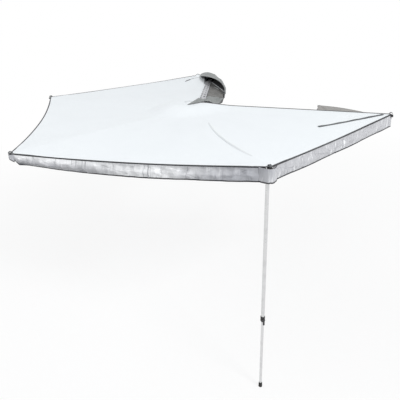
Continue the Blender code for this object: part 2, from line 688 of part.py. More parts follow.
def make_canopy_strap():
    """Webbing that lies along the last panel near its outer corner."""
    start, end = Vector((0.930, -1.350)), Vector((1.515, -1.035))
    side = Vector((end.y - start.y, start.x - end.x)).normalized() * 0.0125
    rows = []
    for step in range(13):
        place = start.lerp(end, step / 12)
        height = surface_height(3, place) + 0.0030
        rows.append([(*(place - side), height), (*place, height + 0.0006), (*(place + side), height)])
    sheet("canopy_strap", rows, 0.0014, WEBBING)


def surface_height(index, place):
    """Height of a panel under a point, from its angle between the arms."""
    start, end = panel_frame(index)
    offset = place - Vector((PIN_X, PIN_Y))
    angle = math.degrees(math.atan2(-offset.x, offset.y)) % 360.0
    across = (angle - start[1]) / (end[1] - start[1])
    rise = min(max((across - 0.012) / 0.976, 0.0), 1.0)
    reach = (edge_spot(index, across) - Vector((PIN_X, PIN_Y))).length
    return draped(place, panel_height(index, rise, min(offset.length / reach, 1.0)))


def make_keder_and_hem():
    """The canopy's beaded edge in the rail's groove, and the gathered hem on the rail's top."""
    bead = bmesh.new()
    radius, neck = GROOVE_RADIUS - GAP, 0.0007
    half = math.degrees(math.asin(neck / radius))
    outline = arc((GROOVE_X, GROOVE_Z), radius, 90 - half, -270 + half, 12)
    outline += [(GROOVE_X - neck, RAIL_HIGH + 0.0008), (GROOVE_X + neck, RAIL_HIGH + 0.0008)]
    prism(bead, outline, -0.360, 1.280, plane="XZ")
    piece("canopy_keder", bead, CANVAS)
    rows = []
    cells = 36
    for step in range(cells + 1):
        y = mix(-0.350, 1.285, step / cells)
        outer = draped((RAIL_EDGE_X, y), RAIL_EDGE_Z) + 0.0006
        row = []
        for column in range(5):
            across = column / 4
            crumple = 0.0016 + 0.0016 * math.sin(y * 74.0 + across * 2.0) * math.sin(y * 31.0)
            height = mix(outer, 0.0968, smooth_rise(across, 0.0, 0.55)) + crumple
            row.append((mix(-0.1495, -0.087, across), y, height))
        rows.append(row)
    sheet("canopy_hem", rows, 0.0012, SILVER_CLOTH)


def make_hinge_cover():
    """The loose flap over the hinge, from the pin to the bag's rear end."""
    tip = Vector((-0.212, -0.703))
    far_edge = [tip, Vector((-0.157, -0.525)), Vector((-0.108, -0.300)), Vector((-0.060, 0.030))]
    near_edge = [tip, Vector((-0.075, -0.590)), Vector((0.045, -0.330)), Vector((0.110, 0.030))]
    rows = []
    cells = 15
    for step in range(1, cells + 1):
        far, near = along_edge(far_edge, step / cells), along_edge(near_edge, step / cells)
        row = []
        for column in range(7):
            place = far.lerp(near, column / 6)
            fold = 0.0030 * math.sin(step * 0.9 + column * 1.3) * smooth_rise(step, 2, 8)
            row.append((*place, draped(place, 0.0990) + 0.0060 + fold))
        rows.append(row)
    sheet("hinge_cover", rows, 0.0014, BAG_CLOTH)


def along_edge(corners, share):
    """A point at a share of the way through a line of corners."""
    position = share * (len(corners) - 1)
    index = min(int(position), len(corners) - 2)
    return corners[index].lerp(corners[index + 1], position - index)


# Storage bag

def bag_right(y):
    """The bag's right side, which runs in towards the front."""
    share = min(max((y - LID_REAR) / (LID_FRONT - LID_REAR), 0.0), 1.0)
    return mix(LID_RIGHT_REAR, LID_RIGHT_FRONT, share ** LID_TAPER)


def lid_point(y, along):
    """A point on the lid's arch, from its right foot to its free edge."""
    share = (y - LID_REAR) / (LID_FRONT - LID_REAR)
    angle = math.radians(mix(LID_START_DEG, LID_END_DEG, share ** LID_GROWTH)) * along
    half = (bag_right(y) - LID_LEFT) / 2
    rise = mix(LID_RISE_REAR, LID_RISE_FRONT, share)
    return bag_right(y) - half + half * math.cos(angle), y, LID_FOOT_Z + rise * math.sin(angle)


def make_bag():
    """Floor tray, grey apron, arched lid that opens towards the rear, and its front end."""
    rows = []
    for step in range(15):
        y = mix(BAG_REAR, LID_FRONT, step / 14)
        right = bag_right(y)
        row = [(mix(BAG_LEFT, right - 0.012, column / 4), y, BAG_FLOOR_Z) for column in range(5)]
        row += [(right - 0.004, y, BAG_FLOOR_Z + 0.003), (right, y, LID_FOOT_Z - 0.0018)]
        rows.append(row)
    sheet("bag_base", rows, BAG_SKIN, BAG_LINING)

    rows = []
    for step in range(9):
        along = step / 8
        row = []
        for column in range(7):
            across = column / 6
            seam_y = mix(0.930, 0.457, across) - 0.060 * math.sin(math.pi * across)
            y = mix(BAG_REAR + 0.004, seam_y, along)
            right = bag_right(y) - 0.016
            crease = 0.0010 * math.sin(across * 9.0 + along * 5.0) + 0.0010
            row.append((mix(-0.082, right, across), y, BAG_FLOOR_Z + 0.0028 + crease))
        rows.append(row)
    sheet("bag_apron", rows, 0.0010, BAG_CLOTH)

    rows = []
    for step in range(14):
        y = mix(LID_REAR, LID_FRONT, step / 13)
        rows.append([lid_point(y, column / 14) for column in range(15)])
    sheet("bag_lid", rows, BAG_SKIN, BAG_CLOTH)

    half = (bag_right(LID_FRONT) - LID_LEFT) / 2 + BAG_SKIN / 2
    middle = (bag_right(LID_FRONT) + LID_LEFT) / 2
    rise = LID_RISE_FRONT + BAG_SKIN / 2
    arch = []
    for step in range(17):
        angle = math.pi * step / 16
        arch.append((middle + half * math.cos(angle), LID_FOOT_Z + rise * math.sin(angle)))
    solid("bag_front_panel", BAG_CLOTH, None, arch, LID_FRONT + GAP, LID_FRONT + 0.0032,
          plane="XZ")

    ring_bm = bmesh.new()
    profile = [(0.0135, -0.0014), (0.0165, -0.0014), (0.0165, 0.0014), (0.0135, 0.0014)]
    turned(ring_bm, profile, 20, Matrix.Translation((0.088, 0.245, BAG_FLOOR_Z + 0.0082)))
    piece("bag_ring", ring_bm, ZINC)


# Pole, modelled about its own axis empty at the pivot, hanging along -Z

def make_pole_pivot(axis):
    """On the arm's end: the bolt, the spacer beside the tube and the nut outside the pole's eye."""
    z = ARM_1_Z + 2 * ARM_PITCH - POLE_DROP
    side = math.copysign(1.0, POLE_OFFSET)
    face = ARM_WIDTH / 2 + GAP
    eye_in, eye_out = abs(POLE_OFFSET) - EYE_HALF - GAP, abs(POLE_OFFSET) + EYE_HALF + GAP
    end = face + eye_out + 0.0080
    profile = [(0.0, -0.0050), (0.0060, -0.0044), (0.0068, 0.0), (BOLT_RADIUS, 0.0),
               (BOLT_RADIUS, end), (0.0, end)]
    bolt = bmesh.new()
    turned(bolt, profile, 12, along_x(-side * face, POLE_REACH, z, side))
    piece("pole_pivot_bolt", bolt, ZINC, axis)
    centre = (POLE_REACH, z)
    hole = ring(BOLT_RADIUS + GAP, 12, centre)
    solid("pole_spacer", PLASTIC, axis, ring(0.0085, 16, centre),
          *sorted((side * face, side * eye_in)), [hole], "YZ")
    solid("pole_pivot_nut", ZINC, axis, hexagon(NUT_FLATS, centre),
          *sorted((side * eye_out, side * (eye_out + 0.0058))), [hole], "YZ")


def make_pole_upper(axis):
    """The upper tube, its top eye, the clamp collar and the lever's pin."""
    eye = arc((0.0, 0.0), EYE_RADIUS, -20, 200, 12) + [(-0.0100, -0.0190), (0.0100, -0.0190)]
    fitting = solid("pole_top_fitting", PLASTIC, axis, eye, -EYE_HALF, EYE_HALF,
                    [ring(BOLT_RADIUS + GAP, 12)], "YZ")
    plug = bmesh.new()
    turned(plug, [(0.0, -0.0160), (UPPER_OUTER, -0.0160), (UPPER_OUTER, -0.0216),
                  (UPPER_INNER - GAP, -0.0216), (UPPER_INNER - GAP, -0.0560),
                  (UPPER_INNER - 0.002, -0.0600), (0.0, -0.0600)], 20)
    boolean(fitting, tool("pole_top_plug", plug, axis), "UNION")

    pivot_z = axis.matrix_world.translation.z
    collar = COLLAR_Z - pivot_z
    tube = bmesh.new()
    turned(tube, [(UPPER_INNER, -0.0220), (UPPER_OUTER, -0.0220), (UPPER_OUTER, collar + TUBE_SEAT),
                  (UPPER_INNER, collar + TUBE_SEAT)], 20)
    piece("pole_upper_tube", tube, ALUMINIUM, axis)

    high, low = collar + COLLAR_HEIGHT / 2, collar - COLLAR_HEIGHT / 2
    seat = collar + TUBE_SEAT - GAP
    body = bmesh.new()
    upper_bore, lower_bore = UPPER_OUTER + GAP, LOWER_OUTER + GAP
    rim = COLLAR_RADIUS - 0.0015
    turned(body, [(upper_bore, high), (rim, high), (COLLAR_RADIUS, high - 0.0015),
                  (COLLAR_RADIUS, low + 0.006), (COLLAR_RADIUS - 0.003, low),
                  (lower_bore, low), (lower_bore, seat), (upper_bore, seat)], 20)
    clamp = piece("pole_collar", body, PLASTIC, axis)
    pin_z, pin_y = collar + LEVER_UP, LEVER_OUT
    lugs = bmesh.new()
    for side in (-1, 1):
        inner, outer = sorted((side * 0.0072, side * 0.0108))
        lug = arc((pin_y, pin_z), 0.0052, -70, 90, 6)
        lug += [(0.0130, pin_z + 0.0090), (0.0130, pin_z - 0.0110)]
        prism(lugs, lug, inner, outer, plane="YZ")
    boolean(clamp, tool("collar_lugs", lugs, axis), "UNION")
    window = bmesh.new()
    prism(window, box_outline(-0.0068, 0.0068, pin_z - 0.0105, pin_z + 0.0075), 0.0060, 0.0300,
          plane="XZ")
    boolean(clamp, tool("cutter_collar_window", window, axis), "DIFFERENCE")
    pin_hole = bmesh.new()
    prism(pin_hole, ring(0.0020 + GAP, 10, (pin_y, pin_z)), -0.02, 0.02, plane="YZ")
    boolean(clamp, tool("cutter_collar_pin", pin_hole, axis), "DIFFERENCE")
    pin = bmesh.new()
    turned(pin, [(0.0, -0.0122), (0.0030, -0.0122), (0.0030, -0.0112), (0.0020, -0.0112),
                 (0.0020, 0.0122), (0.0, 0.0122)], 10, along_x(0.0, pin_y, pin_z))
    piece("lever_pin", pin, ZINC, axis)


def make_lever(axis):
    """The cam lever, modelled about its own pin, hanging down when the clamp is shut."""
    nose = LEVER_OUT - LOWER_OUTER - 0.0006
    cam = arc((0.0, 0.0), nose, 180, 205, 2)
    cam += [(-0.0046, -0.0074), (-0.0012, -0.0100), (-0.0006, -0.0380), (0.0030, -0.0420),
            (0.0062, -0.0410), (0.0052, -0.0200)]
    cam += arc((0.0, 0.0), 0.0052, -20, 110, 7)
    solid("clamp_lever", PLASTIC, axis, cam, -0.0064, 0.0064, [ring(0.0020 + GAP, 10)], "YZ")


def make_pole_lower(axis):
    """The lower tube and its rubber foot."""
    pivot_z = axis.matrix_world.translation.z
    top = COLLAR_Z + POLE_OVERLAP - pivot_z
    ground = GROUND_Z - pivot_z
    tube_end = ground + 0.012
    tube = bmesh.new()
    turned(tube, [(LOWER_INNER, top), (LOWER_OUTER, top), (LOWER_OUTER, tube_end),
                  (LOWER_INNER, tube_end)], 20)
    piece("pole_lower_tube", tube, ALUMINIUM, axis)
    rim = ground + FOOT_HEIGHT
    seat = tube_end - GAP
    foot = bmesh.new()
    bore = LOWER_OUTER + GAP
    turned(foot, [(0.0, ground), (FOOT_RADIUS - 0.002, ground), (FOOT_RADIUS, ground + 0.002),
                  (FOOT_RADIUS, ground + 0.010), (FOOT_RADIUS - 0.0015, ground + 0.012),
                  (FOOT_RADIUS - 0.0015, ground + 0.016), (FOOT_RADIUS - 0.0004, ground + 0.018),
                  (FOOT_RADIUS - 0.0020, rim - 0.002), (bore + 0.001, rim), (bore, rim),
                  (bore, seat), (0.0, seat)], 20)
    piece("pole_foot", foot, RUBBER, axis)


def build():
    """Put the whole awning together."""
    make_rail()
    make_rail_caps()
    for name, place in BRACKET_PLACES.items():
        make_bracket(name, place)
    make_fasteners()
    make_hinge_bracket()
    make_pivot()

    axes = []
    turned_so_far = 0.0
    for index, angle in enumerate(ARM_ANGLES):
        parent = axes[-1] if axes else None
        place = (0.0, 0.0, 0.0) if axes else (PIN_X, PIN_Y, 0.0)
        axes.append(axis_empty(f"axis_arm_{index + 1}", place, angle - turned_so_far, parent))
        turned_so_far = angle
        make_arm(index, axes[-1])
    pivot = (POLE_OFFSET, POLE_REACH, ARM_1_Z + 2 * ARM_PITCH - POLE_DROP)
    pole_axis = axis_empty("axis_pole", pivot, 0.0, axes[2])
    bpy.context.view_layer.update()
    make_pole_pivot(axes[2])
    make_pole_upper(pole_axis)
    collar = COLLAR_Z - pole_axis.matrix_world.translation.z
    lever_axis = axis_empty("axis_lever", (0.0, LEVER_OUT, collar + LEVER_UP), 0.0, pole_axis)
    make_lever(lever_axis)
    make_pole_lower(pole_axis)

    make_panels()
    make_valance("valance_1", 2, True, 44)
    make_valance("valance_2", 3, False, 38)
    make_keder_and_hem()
    make_canopy_strap()
    make_side_flap(ARM_ANGLES[3])
    make_hinge_cover()
    make_bag()


build()
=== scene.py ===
"""Looks of a side awning: white fan canopy, silver valances, open grey bag, pole.

Metres, in the CAD frame: origin under the rear bracket's foot, +X right, +Y ahead, +Z up.
"""
import math

import bmesh
import bpy
from mathutils import Matrix, Vector, noise


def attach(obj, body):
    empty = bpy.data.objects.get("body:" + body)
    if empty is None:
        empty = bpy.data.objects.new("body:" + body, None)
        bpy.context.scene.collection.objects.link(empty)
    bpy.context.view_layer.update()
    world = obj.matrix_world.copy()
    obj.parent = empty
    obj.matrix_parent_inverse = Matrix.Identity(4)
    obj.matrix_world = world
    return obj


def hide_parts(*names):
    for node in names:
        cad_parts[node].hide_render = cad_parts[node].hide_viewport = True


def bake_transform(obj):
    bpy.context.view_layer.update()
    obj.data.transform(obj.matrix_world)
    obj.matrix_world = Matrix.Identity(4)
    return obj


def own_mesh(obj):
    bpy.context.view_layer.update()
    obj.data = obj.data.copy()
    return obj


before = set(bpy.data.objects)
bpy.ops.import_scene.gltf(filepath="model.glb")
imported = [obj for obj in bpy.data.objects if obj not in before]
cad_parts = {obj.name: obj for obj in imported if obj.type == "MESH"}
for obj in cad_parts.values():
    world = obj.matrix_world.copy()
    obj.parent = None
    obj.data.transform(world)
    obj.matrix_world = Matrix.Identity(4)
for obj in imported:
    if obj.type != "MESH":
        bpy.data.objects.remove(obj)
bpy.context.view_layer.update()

# The awning's places and sizes, as in the CAD source. The pin that the arms turn on, each
# arm's angle from straight ahead in degrees, and the arms' stack, section and length
PIN = Vector((-0.200, -0.560))
ARM_ANGLES = (67.5, 139.0, 202.2, 255.6)
ARM_1_Z, ARM_PITCH, ARM_HEIGHT, ARM_WIDTH = 0.088, 0.024, 0.022, 0.036
ARM_LENGTH = 1.850
ARMS = ("arm_1", "arm_2", "arm_3", "arm_4")
GROUND_Z = -1.825
# The canopy's gap over the arms, its rise over the hinge, its edge along the rail, how far
# each outer edge curves in, how far each panel sags, and its level strip beside an arm
CANOPY_REST = 0.0022
HUB_RADIUS, HUB_HEIGHT = 0.052, 0.190
HUB_FLAT, HUB_SLOPE_END = 0.12, 0.45
RAIL_EDGE_X, RAIL_EDGE_Z, RAIL_EDGE_END = -0.152, 0.0965, 1.300
PANEL_CUT = (0.010, 0.060, 0.020, 0.006)
PANEL_SAG = (0.010, 0.020, 0.030, 0.012)
FRONT_EDGE_LIFT = 0.0555
ARM_FLAT = 0.022
VALANCE_DROP, VALANCE_SHORTER = 0.105, 0.018
# The bag's floor and edges, and the lid's arch, which turns further over towards its front
BAG_FLOOR_Z, BAG_REAR, BAG_LEFT = 0.0937, 0.036, -0.119
LID_REAR, LID_FRONT = 0.175, 1.308
LID_START_DEG, LID_END_DEG, LID_GROWTH = 10.0, 175.0, 1.1
LID_RIGHT_REAR, LID_RIGHT_FRONT, LID_TAPER = 0.125, -0.062, 2.09
LID_LEFT, LID_FOOT_Z = -0.270, 0.109
LID_RISE_REAR, LID_RISE_FRONT = 0.129, 0.057


# Camera

PHOTO_SIZE = 400
FILM_WIDTH = 36.0


def add_camera():
    """The photograph's view: a pinhole fitted to the awning's corners, rail and pole."""
    focal_px, principal = 476.62, (192.07, 192.79)
    tilt, roll, yaw = 0.409418, -0.032955, -0.113432
    stand = Vector((0.31882, -5.18391, 1.23541))
    ahead = Vector((math.sin(yaw) * math.cos(tilt), math.cos(yaw) * math.cos(tilt),
                    -math.sin(tilt)))
    right = Vector((math.cos(yaw), -math.sin(yaw), 0.0))
    up = right.cross(ahead)
    right, up = (math.cos(roll) * right + math.sin(roll) * up,
                 math.cos(roll) * up - math.sin(roll) * right)
    lens = bpy.data.cameras.new("camera")
    lens.sensor_width = FILM_WIDTH
    lens.lens = FILM_WIDTH * focal_px / PHOTO_SIZE
    lens.shift_x = (PHOTO_SIZE / 2 - principal[0]) / PHOTO_SIZE
    lens.shift_y = (principal[1] - PHOTO_SIZE / 2) / PHOTO_SIZE
    lens.clip_end = 100.0
    camera = bpy.data.objects.new("camera", lens)
    bpy.context.scene.collection.objects.link(camera)
    turn = Matrix((right, up, -ahead)).transposed().to_4x4()
    camera.matrix_world = Matrix.Translation(stand) @ turn
    bpy.context.scene.camera = camera


add_camera()


# Material nodes

class Finish:
    """A Principled material and short ways to add nodes to it."""

    def __init__(self, name, colour, roughness, metallic=0.0, coordinates="Object"):
        self.material = bpy.data.materials.new(name)
        self.material.use_nodes = True
        self.tree = self.material.node_tree
        self.shader = self.tree.nodes["Principled BSDF"]
        self.set(Base_Color=(*colour, 1.0), Roughness=roughness, Metallic=metallic)
        self.colour = colour
        self.place = self.node("ShaderNodeTexCoord").outputs[coordinates]

    def set(self, **values):
        """Fixed numbers on the shader's own sockets."""
        for socket, value in values.items():
            self.shader.inputs[socket.replace("_", " ")].default_value = value
        return self

    def node(self, kind, inputs=None, **settings):
        made = self.tree.nodes.new(kind)
        for setting, value in settings.items():
            setattr(made, setting, value)
        for socket, value in (inputs or {}).items():
            if isinstance(value, bpy.types.NodeSocket):
                self.tree.links.new(value, made.inputs[socket])
            else:
                made.inputs[socket].default_value = value
        return made

    def scaled(self, scale, turn=0.0):
        """The pattern's coordinates, stretched and turned."""
        return self.node("ShaderNodeMapping", {
            "Vector": self.place, "Scale": scale, "Rotation": (0.0, 0.0, turn),
        }).outputs["Vector"]

    def noise(self, scale, detail=3.0, stretch=(1.0, 1.0, 1.0), rough=0.5, turn=0.0):
        return self.node("ShaderNodeTexNoise", {
            "Vector": self.scaled(stretch, turn), "Scale": scale, "Detail": detail,
            "Roughness": rough,
        }).outputs["Fac"]

    def bands(self, scale, direction):
        return self.node("ShaderNodeTexWave", {"Vector": self.place, "Scale": scale},
                         bands_direction=direction).outputs["Fac"]

    def span(self, value, low, high, to_low, to_high):
        """Map a range to another, held at its ends."""
        return self.node("ShaderNodeMapRange", {
            "Value": value, "From Min": low, "From Max": high, "To Min": to_low,
            "To Max": to_high,
        }).outputs["Result"]

    def math(self, operation, first, second):
        return self.node("ShaderNodeMath", {0: first, 1: second},
                         operation=operation).outputs[0]

    def tint(self, share, other):
        """Blend the base colour towards another: a Mix node's colours are 6 and 7, out at 2."""
        source = self.shader.inputs["Base Color"]
        under = source.links[0].from_socket if source.links else tuple(source.default_value)
        blended = self.node("ShaderNodeMix", {0: share, 6: under, 7: (*other, 1.0)},
                            data_type="RGBA").outputs[2]
        self.tree.links.new(blended, source)
        return self

    def mottle(self, other, most, edges, *noise_values, **noise_settings):
        """Tint towards another colour, by this much at most, where a noise is high."""
        found = self.noise(*noise_values, **noise_settings)
        return self.tint(self.span(found, *edges, 0.0, most), other)

    def rough(self, share, low, high):
        """Let the roughness vary."""
        self.tree.links.new(self.span(share, 0.3, 0.7, low, high),
                            self.shader.inputs["Roughness"])
        return self

    def bump(self, height, distance, strength=1.0):
        """Add a bump over any that is there."""
        normal = self.shader.inputs["Normal"]
        inputs = {"Height": height, "Distance": distance, "Strength": strength}
        if normal.links:
            inputs["Normal"] = normal.links[0].from_socket
        self.tree.links.new(self.node("ShaderNodeBump", inputs).outputs["Normal"], normal)
        return self


def darker(colour, share):
    return tuple(part * share for part in colour)


# Threads are drawn this much coarser than they are, so that a render shows them
WEAVE_COARSER = 6.0
DUST = (0.10, 0.10, 0.10)


def woven(name, colour, roughness, thread=900.0, crease=0.0012, soil=0.93):
    """Coated woven cloth on a UV map in metres: threads, soft creases, faint soiling."""
    look = Finish(name, colour, roughness, coordinates="UV")
    look.set(Sheen_Weight=0.15, Sheen_Roughness=0.5, Specular_IOR_Level=0.35)
    threads = thread / WEAVE_COARSER
    weave = look.math("MULTIPLY", look.bands(threads, "X"), look.bands(threads, "Y"))
    look.mottle(darker(colour, soil), 0.5, (0.45, 0.75), 3.0, 5.0)
    look.rough(look.noise(14.0), roughness - 0.05, roughness + 0.08)
    look.bump(look.noise(11.0, 4.0, rough=0.6), crease)
    look.bump(weave, 0.0002, 0.5)
    return look


def metal(name, colour, roughness, grain=(1.0, 1.0, 1.0), scale=600.0):
    """Metal with a fine grain drawn out along the piece, and dulled spots."""
    look = Finish(name, colour, roughness, metallic=1.0)
    fine = look.noise(scale, 2.0, grain)
    look.mottle(darker(colour, 0.82), 0.55, (0.45, 0.7), 18.0, 4.0)
    look.rough(look.noise(40.0, 3.0), roughness - 0.06, roughness + 0.10)
    look.bump(fine, 0.00005, 0.5)
    return look


def moulded(name, colour, roughness, grain=1400.0, depth=0.00012):
    """Moulded plastic or rubber with a fine grain and a little dust."""
    look = Finish(name, colour, roughness)
    look.mottle(DUST, 0.5, (0.5, 0.75), 30.0, 4.0)
    look.rough(look.noise(60.0), roughness - 0.06, roughness + 0.10)
    look.bump(look.noise(grain, 2.0), depth, 0.6)
    return look


canvas = woven("canopy_canvas", (0.84, 0.875, 0.895), 0.62, crease=0.0014, soil=0.965)


# Colours painted on silver-coated cloth: painted shade and painted highlights for its folds and
# creases, painted light on its middle and head, painted shade at one end, dirt and shade at its
# foot
PAINTED_FOLD_SHADE, PAINTED_FOLD_LIGHT = (0.27, 0.275, 0.30), (0.84, 0.85, 0.86)
PAINTED_CREASE_SHADE, PAINTED_CREASE_HIGHLIGHT = (0.25, 0.255, 0.28), (0.90, 0.91, 0.92)
PAINTED_LIGHT_MIDDLE, PAINTED_LIGHT_HEAD = (0.86, 0.87, 0.88), (0.88, 0.89, 0.90)
FOOT_DIRT_AND_SHADE, PAINTED_END_SHADE = (0.13, 0.135, 0.155), (0.30, 0.31, 0.345)


def silver_cloth(name, tone, dirt_and_shade_at_foot, painted_end_shade=None, painted_light_middle=0.0):
    """Silver-coated cloth: painted shade and painted highlights on its creases, and a foot with
    dirt and painted shade.

    It lies on a UV map in metres, X along the cloth and Y down from its head. The fourth
    argument is the stretch over which painted shade changes, and that shade's share at the
    stretch's start and end; the fifth is the most painted light on the middle and the head.
    """
    look = woven(name, (tone, tone + 0.005, tone + 0.025), 0.42, crease=0.0040, soil=0.90)
    look.set(Metallic=0.12)
    # Painted shade in broad patches, standing in for the shade in the cloth's folds
    look.mottle(PAINTED_FOLD_SHADE, 0.24, (0.44, 0.64), 15.0, 4.0, (1.0, 0.45, 1.0), turn=0.5)
    along, down, _ = look.node("ShaderNodeSeparateXYZ", {"Vector": look.place}).outputs
    # Painted light over the middle of the cloth, and along its head near its start
    if painted_light_middle:
        middle = look.math("MULTIPLY", look.span(along, 0.55, 0.95, 0.0, painted_light_middle),
                           look.span(along, 1.15, 1.50, 1.0, 0.15))
        look.tint(middle, PAINTED_LIGHT_MIDDLE)
        head = look.math("MULTIPLY", look.span(down, 0.014, 0.044, painted_light_middle, 0.0),
                         look.span(along, 0.50, 0.95, 1.0, 0.0))
        look.tint(head, PAINTED_LIGHT_HEAD)
    # Painted light in broad patches, then painted highlights and painted shade in thin leaning
    # streaks for the creases
    look.mottle(PAINTED_FOLD_LIGHT, 0.40, (0.56, 0.72), 19.0, 4.0, (1.0, 0.4, 1.0), 0.65, turn=-0.6)
    look.mottle(PAINTED_CREASE_HIGHLIGHT, 0.55, (0.60, 0.67), 52.0, 2.0, (1.0, 0.16, 1.0), turn=-0.9)
    look.mottle(PAINTED_CREASE_SHADE, 0.50, (0.60, 0.68), 44.0, 2.0, (1.0, 0.16, 1.0), turn=0.8)
    # Dirt and painted shade along the foot, strongest near the start, where the foot turns under,
    # broken up by noise
    low = look.span(down, 0.030, 0.080, 0.0, 1.0)
    early = look.span(along, 0.25, 0.90, dirt_and_shade_at_foot, dirt_and_shade_at_foot * 0.16)
    uneven = look.span(look.noise(26.0, 3.0), 0.30, 0.60, 0.45, 1.0)
    look.tint(look.math("MULTIPLY", look.math("MULTIPLY", low, early), uneven), FOOT_DIRT_AND_SHADE)
    # Painted shade along a slant towards one end
    if painted_end_shade:
        slanted = look.math("ADD", along, look.math("MULTIPLY", down, 2.2))
        look.tint(look.span(slanted, *painted_end_shade), PAINTED_END_SHADE)
    look.bump(look.noise(34.0, 3.0, (1.0, 0.4, 1.0), turn=0.7), 0.0035)
    return look


silver = silver_cloth("silver_coated_cloth", 0.49, 0.15)
# The first valance: painted light on its middle and head, painted shade towards its far end, dirt
# and painted shade at its foot
silver_painted_light_and_shade = silver_cloth("silver_cloth_painted_light_and_shade", 0.60, 1.0, (1.40, 1.85, 0.0, 0.62), 0.85)
# The corner's cloth: painted shade at its start, beside the first valance
silver_corner = silver_cloth("silver_cloth_corner", 0.58, 0.0, (0.02, 0.36, 0.66, 0.05))
bag_cloth = woven("grey_bag_cloth", (0.225, 0.24, 0.235), 0.55, thread=700.0, crease=0.0034)
bag_cloth.mottle((0.12, 0.13, 0.13), 0.6, (0.44, 0.66), 12.0, 5.0, rough=0.6)
lining = woven("black_lining", (0.012, 0.012, 0.014), 0.75, crease=0.0020, soil=0.6)
apron_cloth = woven("apron_cloth", (0.115, 0.113, 0.106), 0.55, crease=0.0070, soil=0.55)
apron_cloth.mottle((0.045, 0.045, 0.043), 0.6, (0.46, 0.64), 14.0, 4.0)
taupe = woven("taupe_flap_cloth", (0.30, 0.29, 0.275), 0.70, crease=0.0016, soil=0.85)
binding = woven("edge_binding", (0.035, 0.036, 0.040), 0.75, thread=500.0, crease=0.0006)
lid_binding = woven("lid_edge_binding", (0.33, 0.34, 0.34), 0.70, thread=500.0)
webbing = Finish("grey_webbing", (0.10, 0.105, 0.11), 0.85, coordinates="UV")
webbing.bump(webbing.bands(85.0, "Y"), 0.0004, 0.8)
webbing.bump(webbing.bands(300.0, "X"), 0.0002, 0.5)
webbing.mottle((0.15, 0.155, 0.16), 0.6, (0.4, 0.7), 40.0)
seam_tape = woven("seam_tape", (0.82, 0.855, 0.875), 0.60, thread=400.0, soil=0.96)
# Canvas painted darker: painted shade along the soft crease beside the third arm
crease_shade_cloth = woven("crease_cloth_painted_shade", (0.72, 0.75, 0.765), 0.62, soil=0.96)

rail_metal = metal("anodised_rail", (0.72, 0.73, 0.74), 0.34, (1.0, 0.02, 1.0))
tube_metal = metal("anodised_tube", (0.74, 0.75, 0.76), 0.30, (1.0, 1.0, 1.0), 300.0)
pole_metal = metal("anodised_pole", (0.70, 0.705, 0.71), 0.32, (1.0, 1.0, 0.02))
cast_metal = metal("cast_aluminium", (0.50, 0.505, 0.51), 0.52, scale=900.0)
cast_metal.bump(cast_metal.noise(260.0, 3.0), 0.0003, 0.7)
zinc = metal("zinc_plate", (0.62, 0.62, 0.60), 0.33, scale=800.0)
powder = moulded("powder_coat", (0.030, 0.031, 0.034), 0.42, 700.0, 0.00010)
plastic = moulded("black_plastic", (0.022, 0.022, 0.024), 0.48)
rubber = moulded("black_rubber", (0.016, 0.016, 0.016), 0.82, 900.0, 0.0002)

NODE_FINISHES = (
    (rail_metal, ("mounting_rail",)),
    (tube_metal, tuple(f"{arm}_tube" for arm in ARMS)),
    (cast_metal, tuple(f"{arm}_knuckle" for arm in ARMS)),
    (plastic, tuple(f"{arm}_cap" for arm in ARMS)),
    (pole_metal, ("pole_upper_tube", "pole_lower_tube")),
    (powder, ("rear_bracket", "front_bracket", "hinge_bracket")),
    (plastic, ("rail_cap_rear", "rail_cap_front", "flap_hook", "pole_spacer",
               "pole_top_fitting", "pole_collar", "clamp_lever")),
    (zinc, ("rear_bracket_studs", "front_bracket_studs", "rear_bracket_bolt_1",
            "rear_bracket_bolt_2", "front_bracket_bolt_1", "front_bracket_bolt_2",
            "hinge_bolt_1", "hinge_bolt_2", "hinge_bolt_3", "hinge_bolt_4", "pivot_pin",
            "pivot_nut", "pivot_washer", "pole_pivot_bolt", "pole_pivot_nut", "lever_pin",
            "bag_ring")),
    (rubber, ("pole_foot",)),
    (seam_tape, ("canopy_keder",)),
)
for look, names in NODE_FINISHES:
    for name in names:
        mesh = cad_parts[name].data
        mesh.materials.clear()
        mesh.materials.append(look.material)


# Shapes that repeat the CAD source's rules

def mix(a, b, share):
    return a + (b - a) * share


def unit(share):
    return min(max(share, 0.0), 1.0)


def smooth_rise(value, low, high):
    share = unit((value - low) / (high - low))
    return share * share * (3.0 - 2.0 * share)


def bell(value, centre, width):
    return math.exp(-((value - centre) / width) ** 2)


def arm_direction(angle):
    """Along an arm, and across it towards the next arm."""
    turn = math.radians(angle)
    return Vector((-math.sin(turn), math.cos(turn))), Vector((-math.cos(turn), -math.sin(turn)))


def arm_spot(angle, radius, across=0.0):
    ahead, side = arm_direction(angle)
    return PIN + ahead * radius + side * across


def canopy_level(index):
    return ARM_1_Z + index * ARM_PITCH + ARM_HEIGHT / 2 + CANOPY_REST


def draped(place, height):
    """Height of cloth that rises over the hinge."""
    radius = (Vector(place[:2]) - PIN).length
    return mix(HUB_HEIGHT, height, smooth_rise(radius, HUB_FLAT, HUB_SLOPE_END))


def panel_frame(index):
    """A panel's start and end: hub angle, side angle, outer corner, height."""
    angle = ARM_ANGLES[index]
    end = (angle, angle, arm_spot(angle, ARM_LENGTH), canopy_level(index))
    if index == 0:
        hub_angle = -math.degrees(math.asin((RAIL_EDGE_X - PIN.x) / HUB_RADIUS))
        return (hub_angle, 0.0, Vector((RAIL_EDGE_X, RAIL_EDGE_END)), RAIL_EDGE_Z), end
    angle = ARM_ANGLES[index - 1]
    return (angle, angle, arm_spot(angle, ARM_LENGTH), canopy_level(index - 1)), end


def edge_length(index):
    start, end = panel_frame(index)
    return (end[2] - start[2]).length


def edge_outward(index):
    start, end = panel_frame(index)
    chord = end[2] - start[2]
    return Vector((chord.y, -chord.x)).normalized()


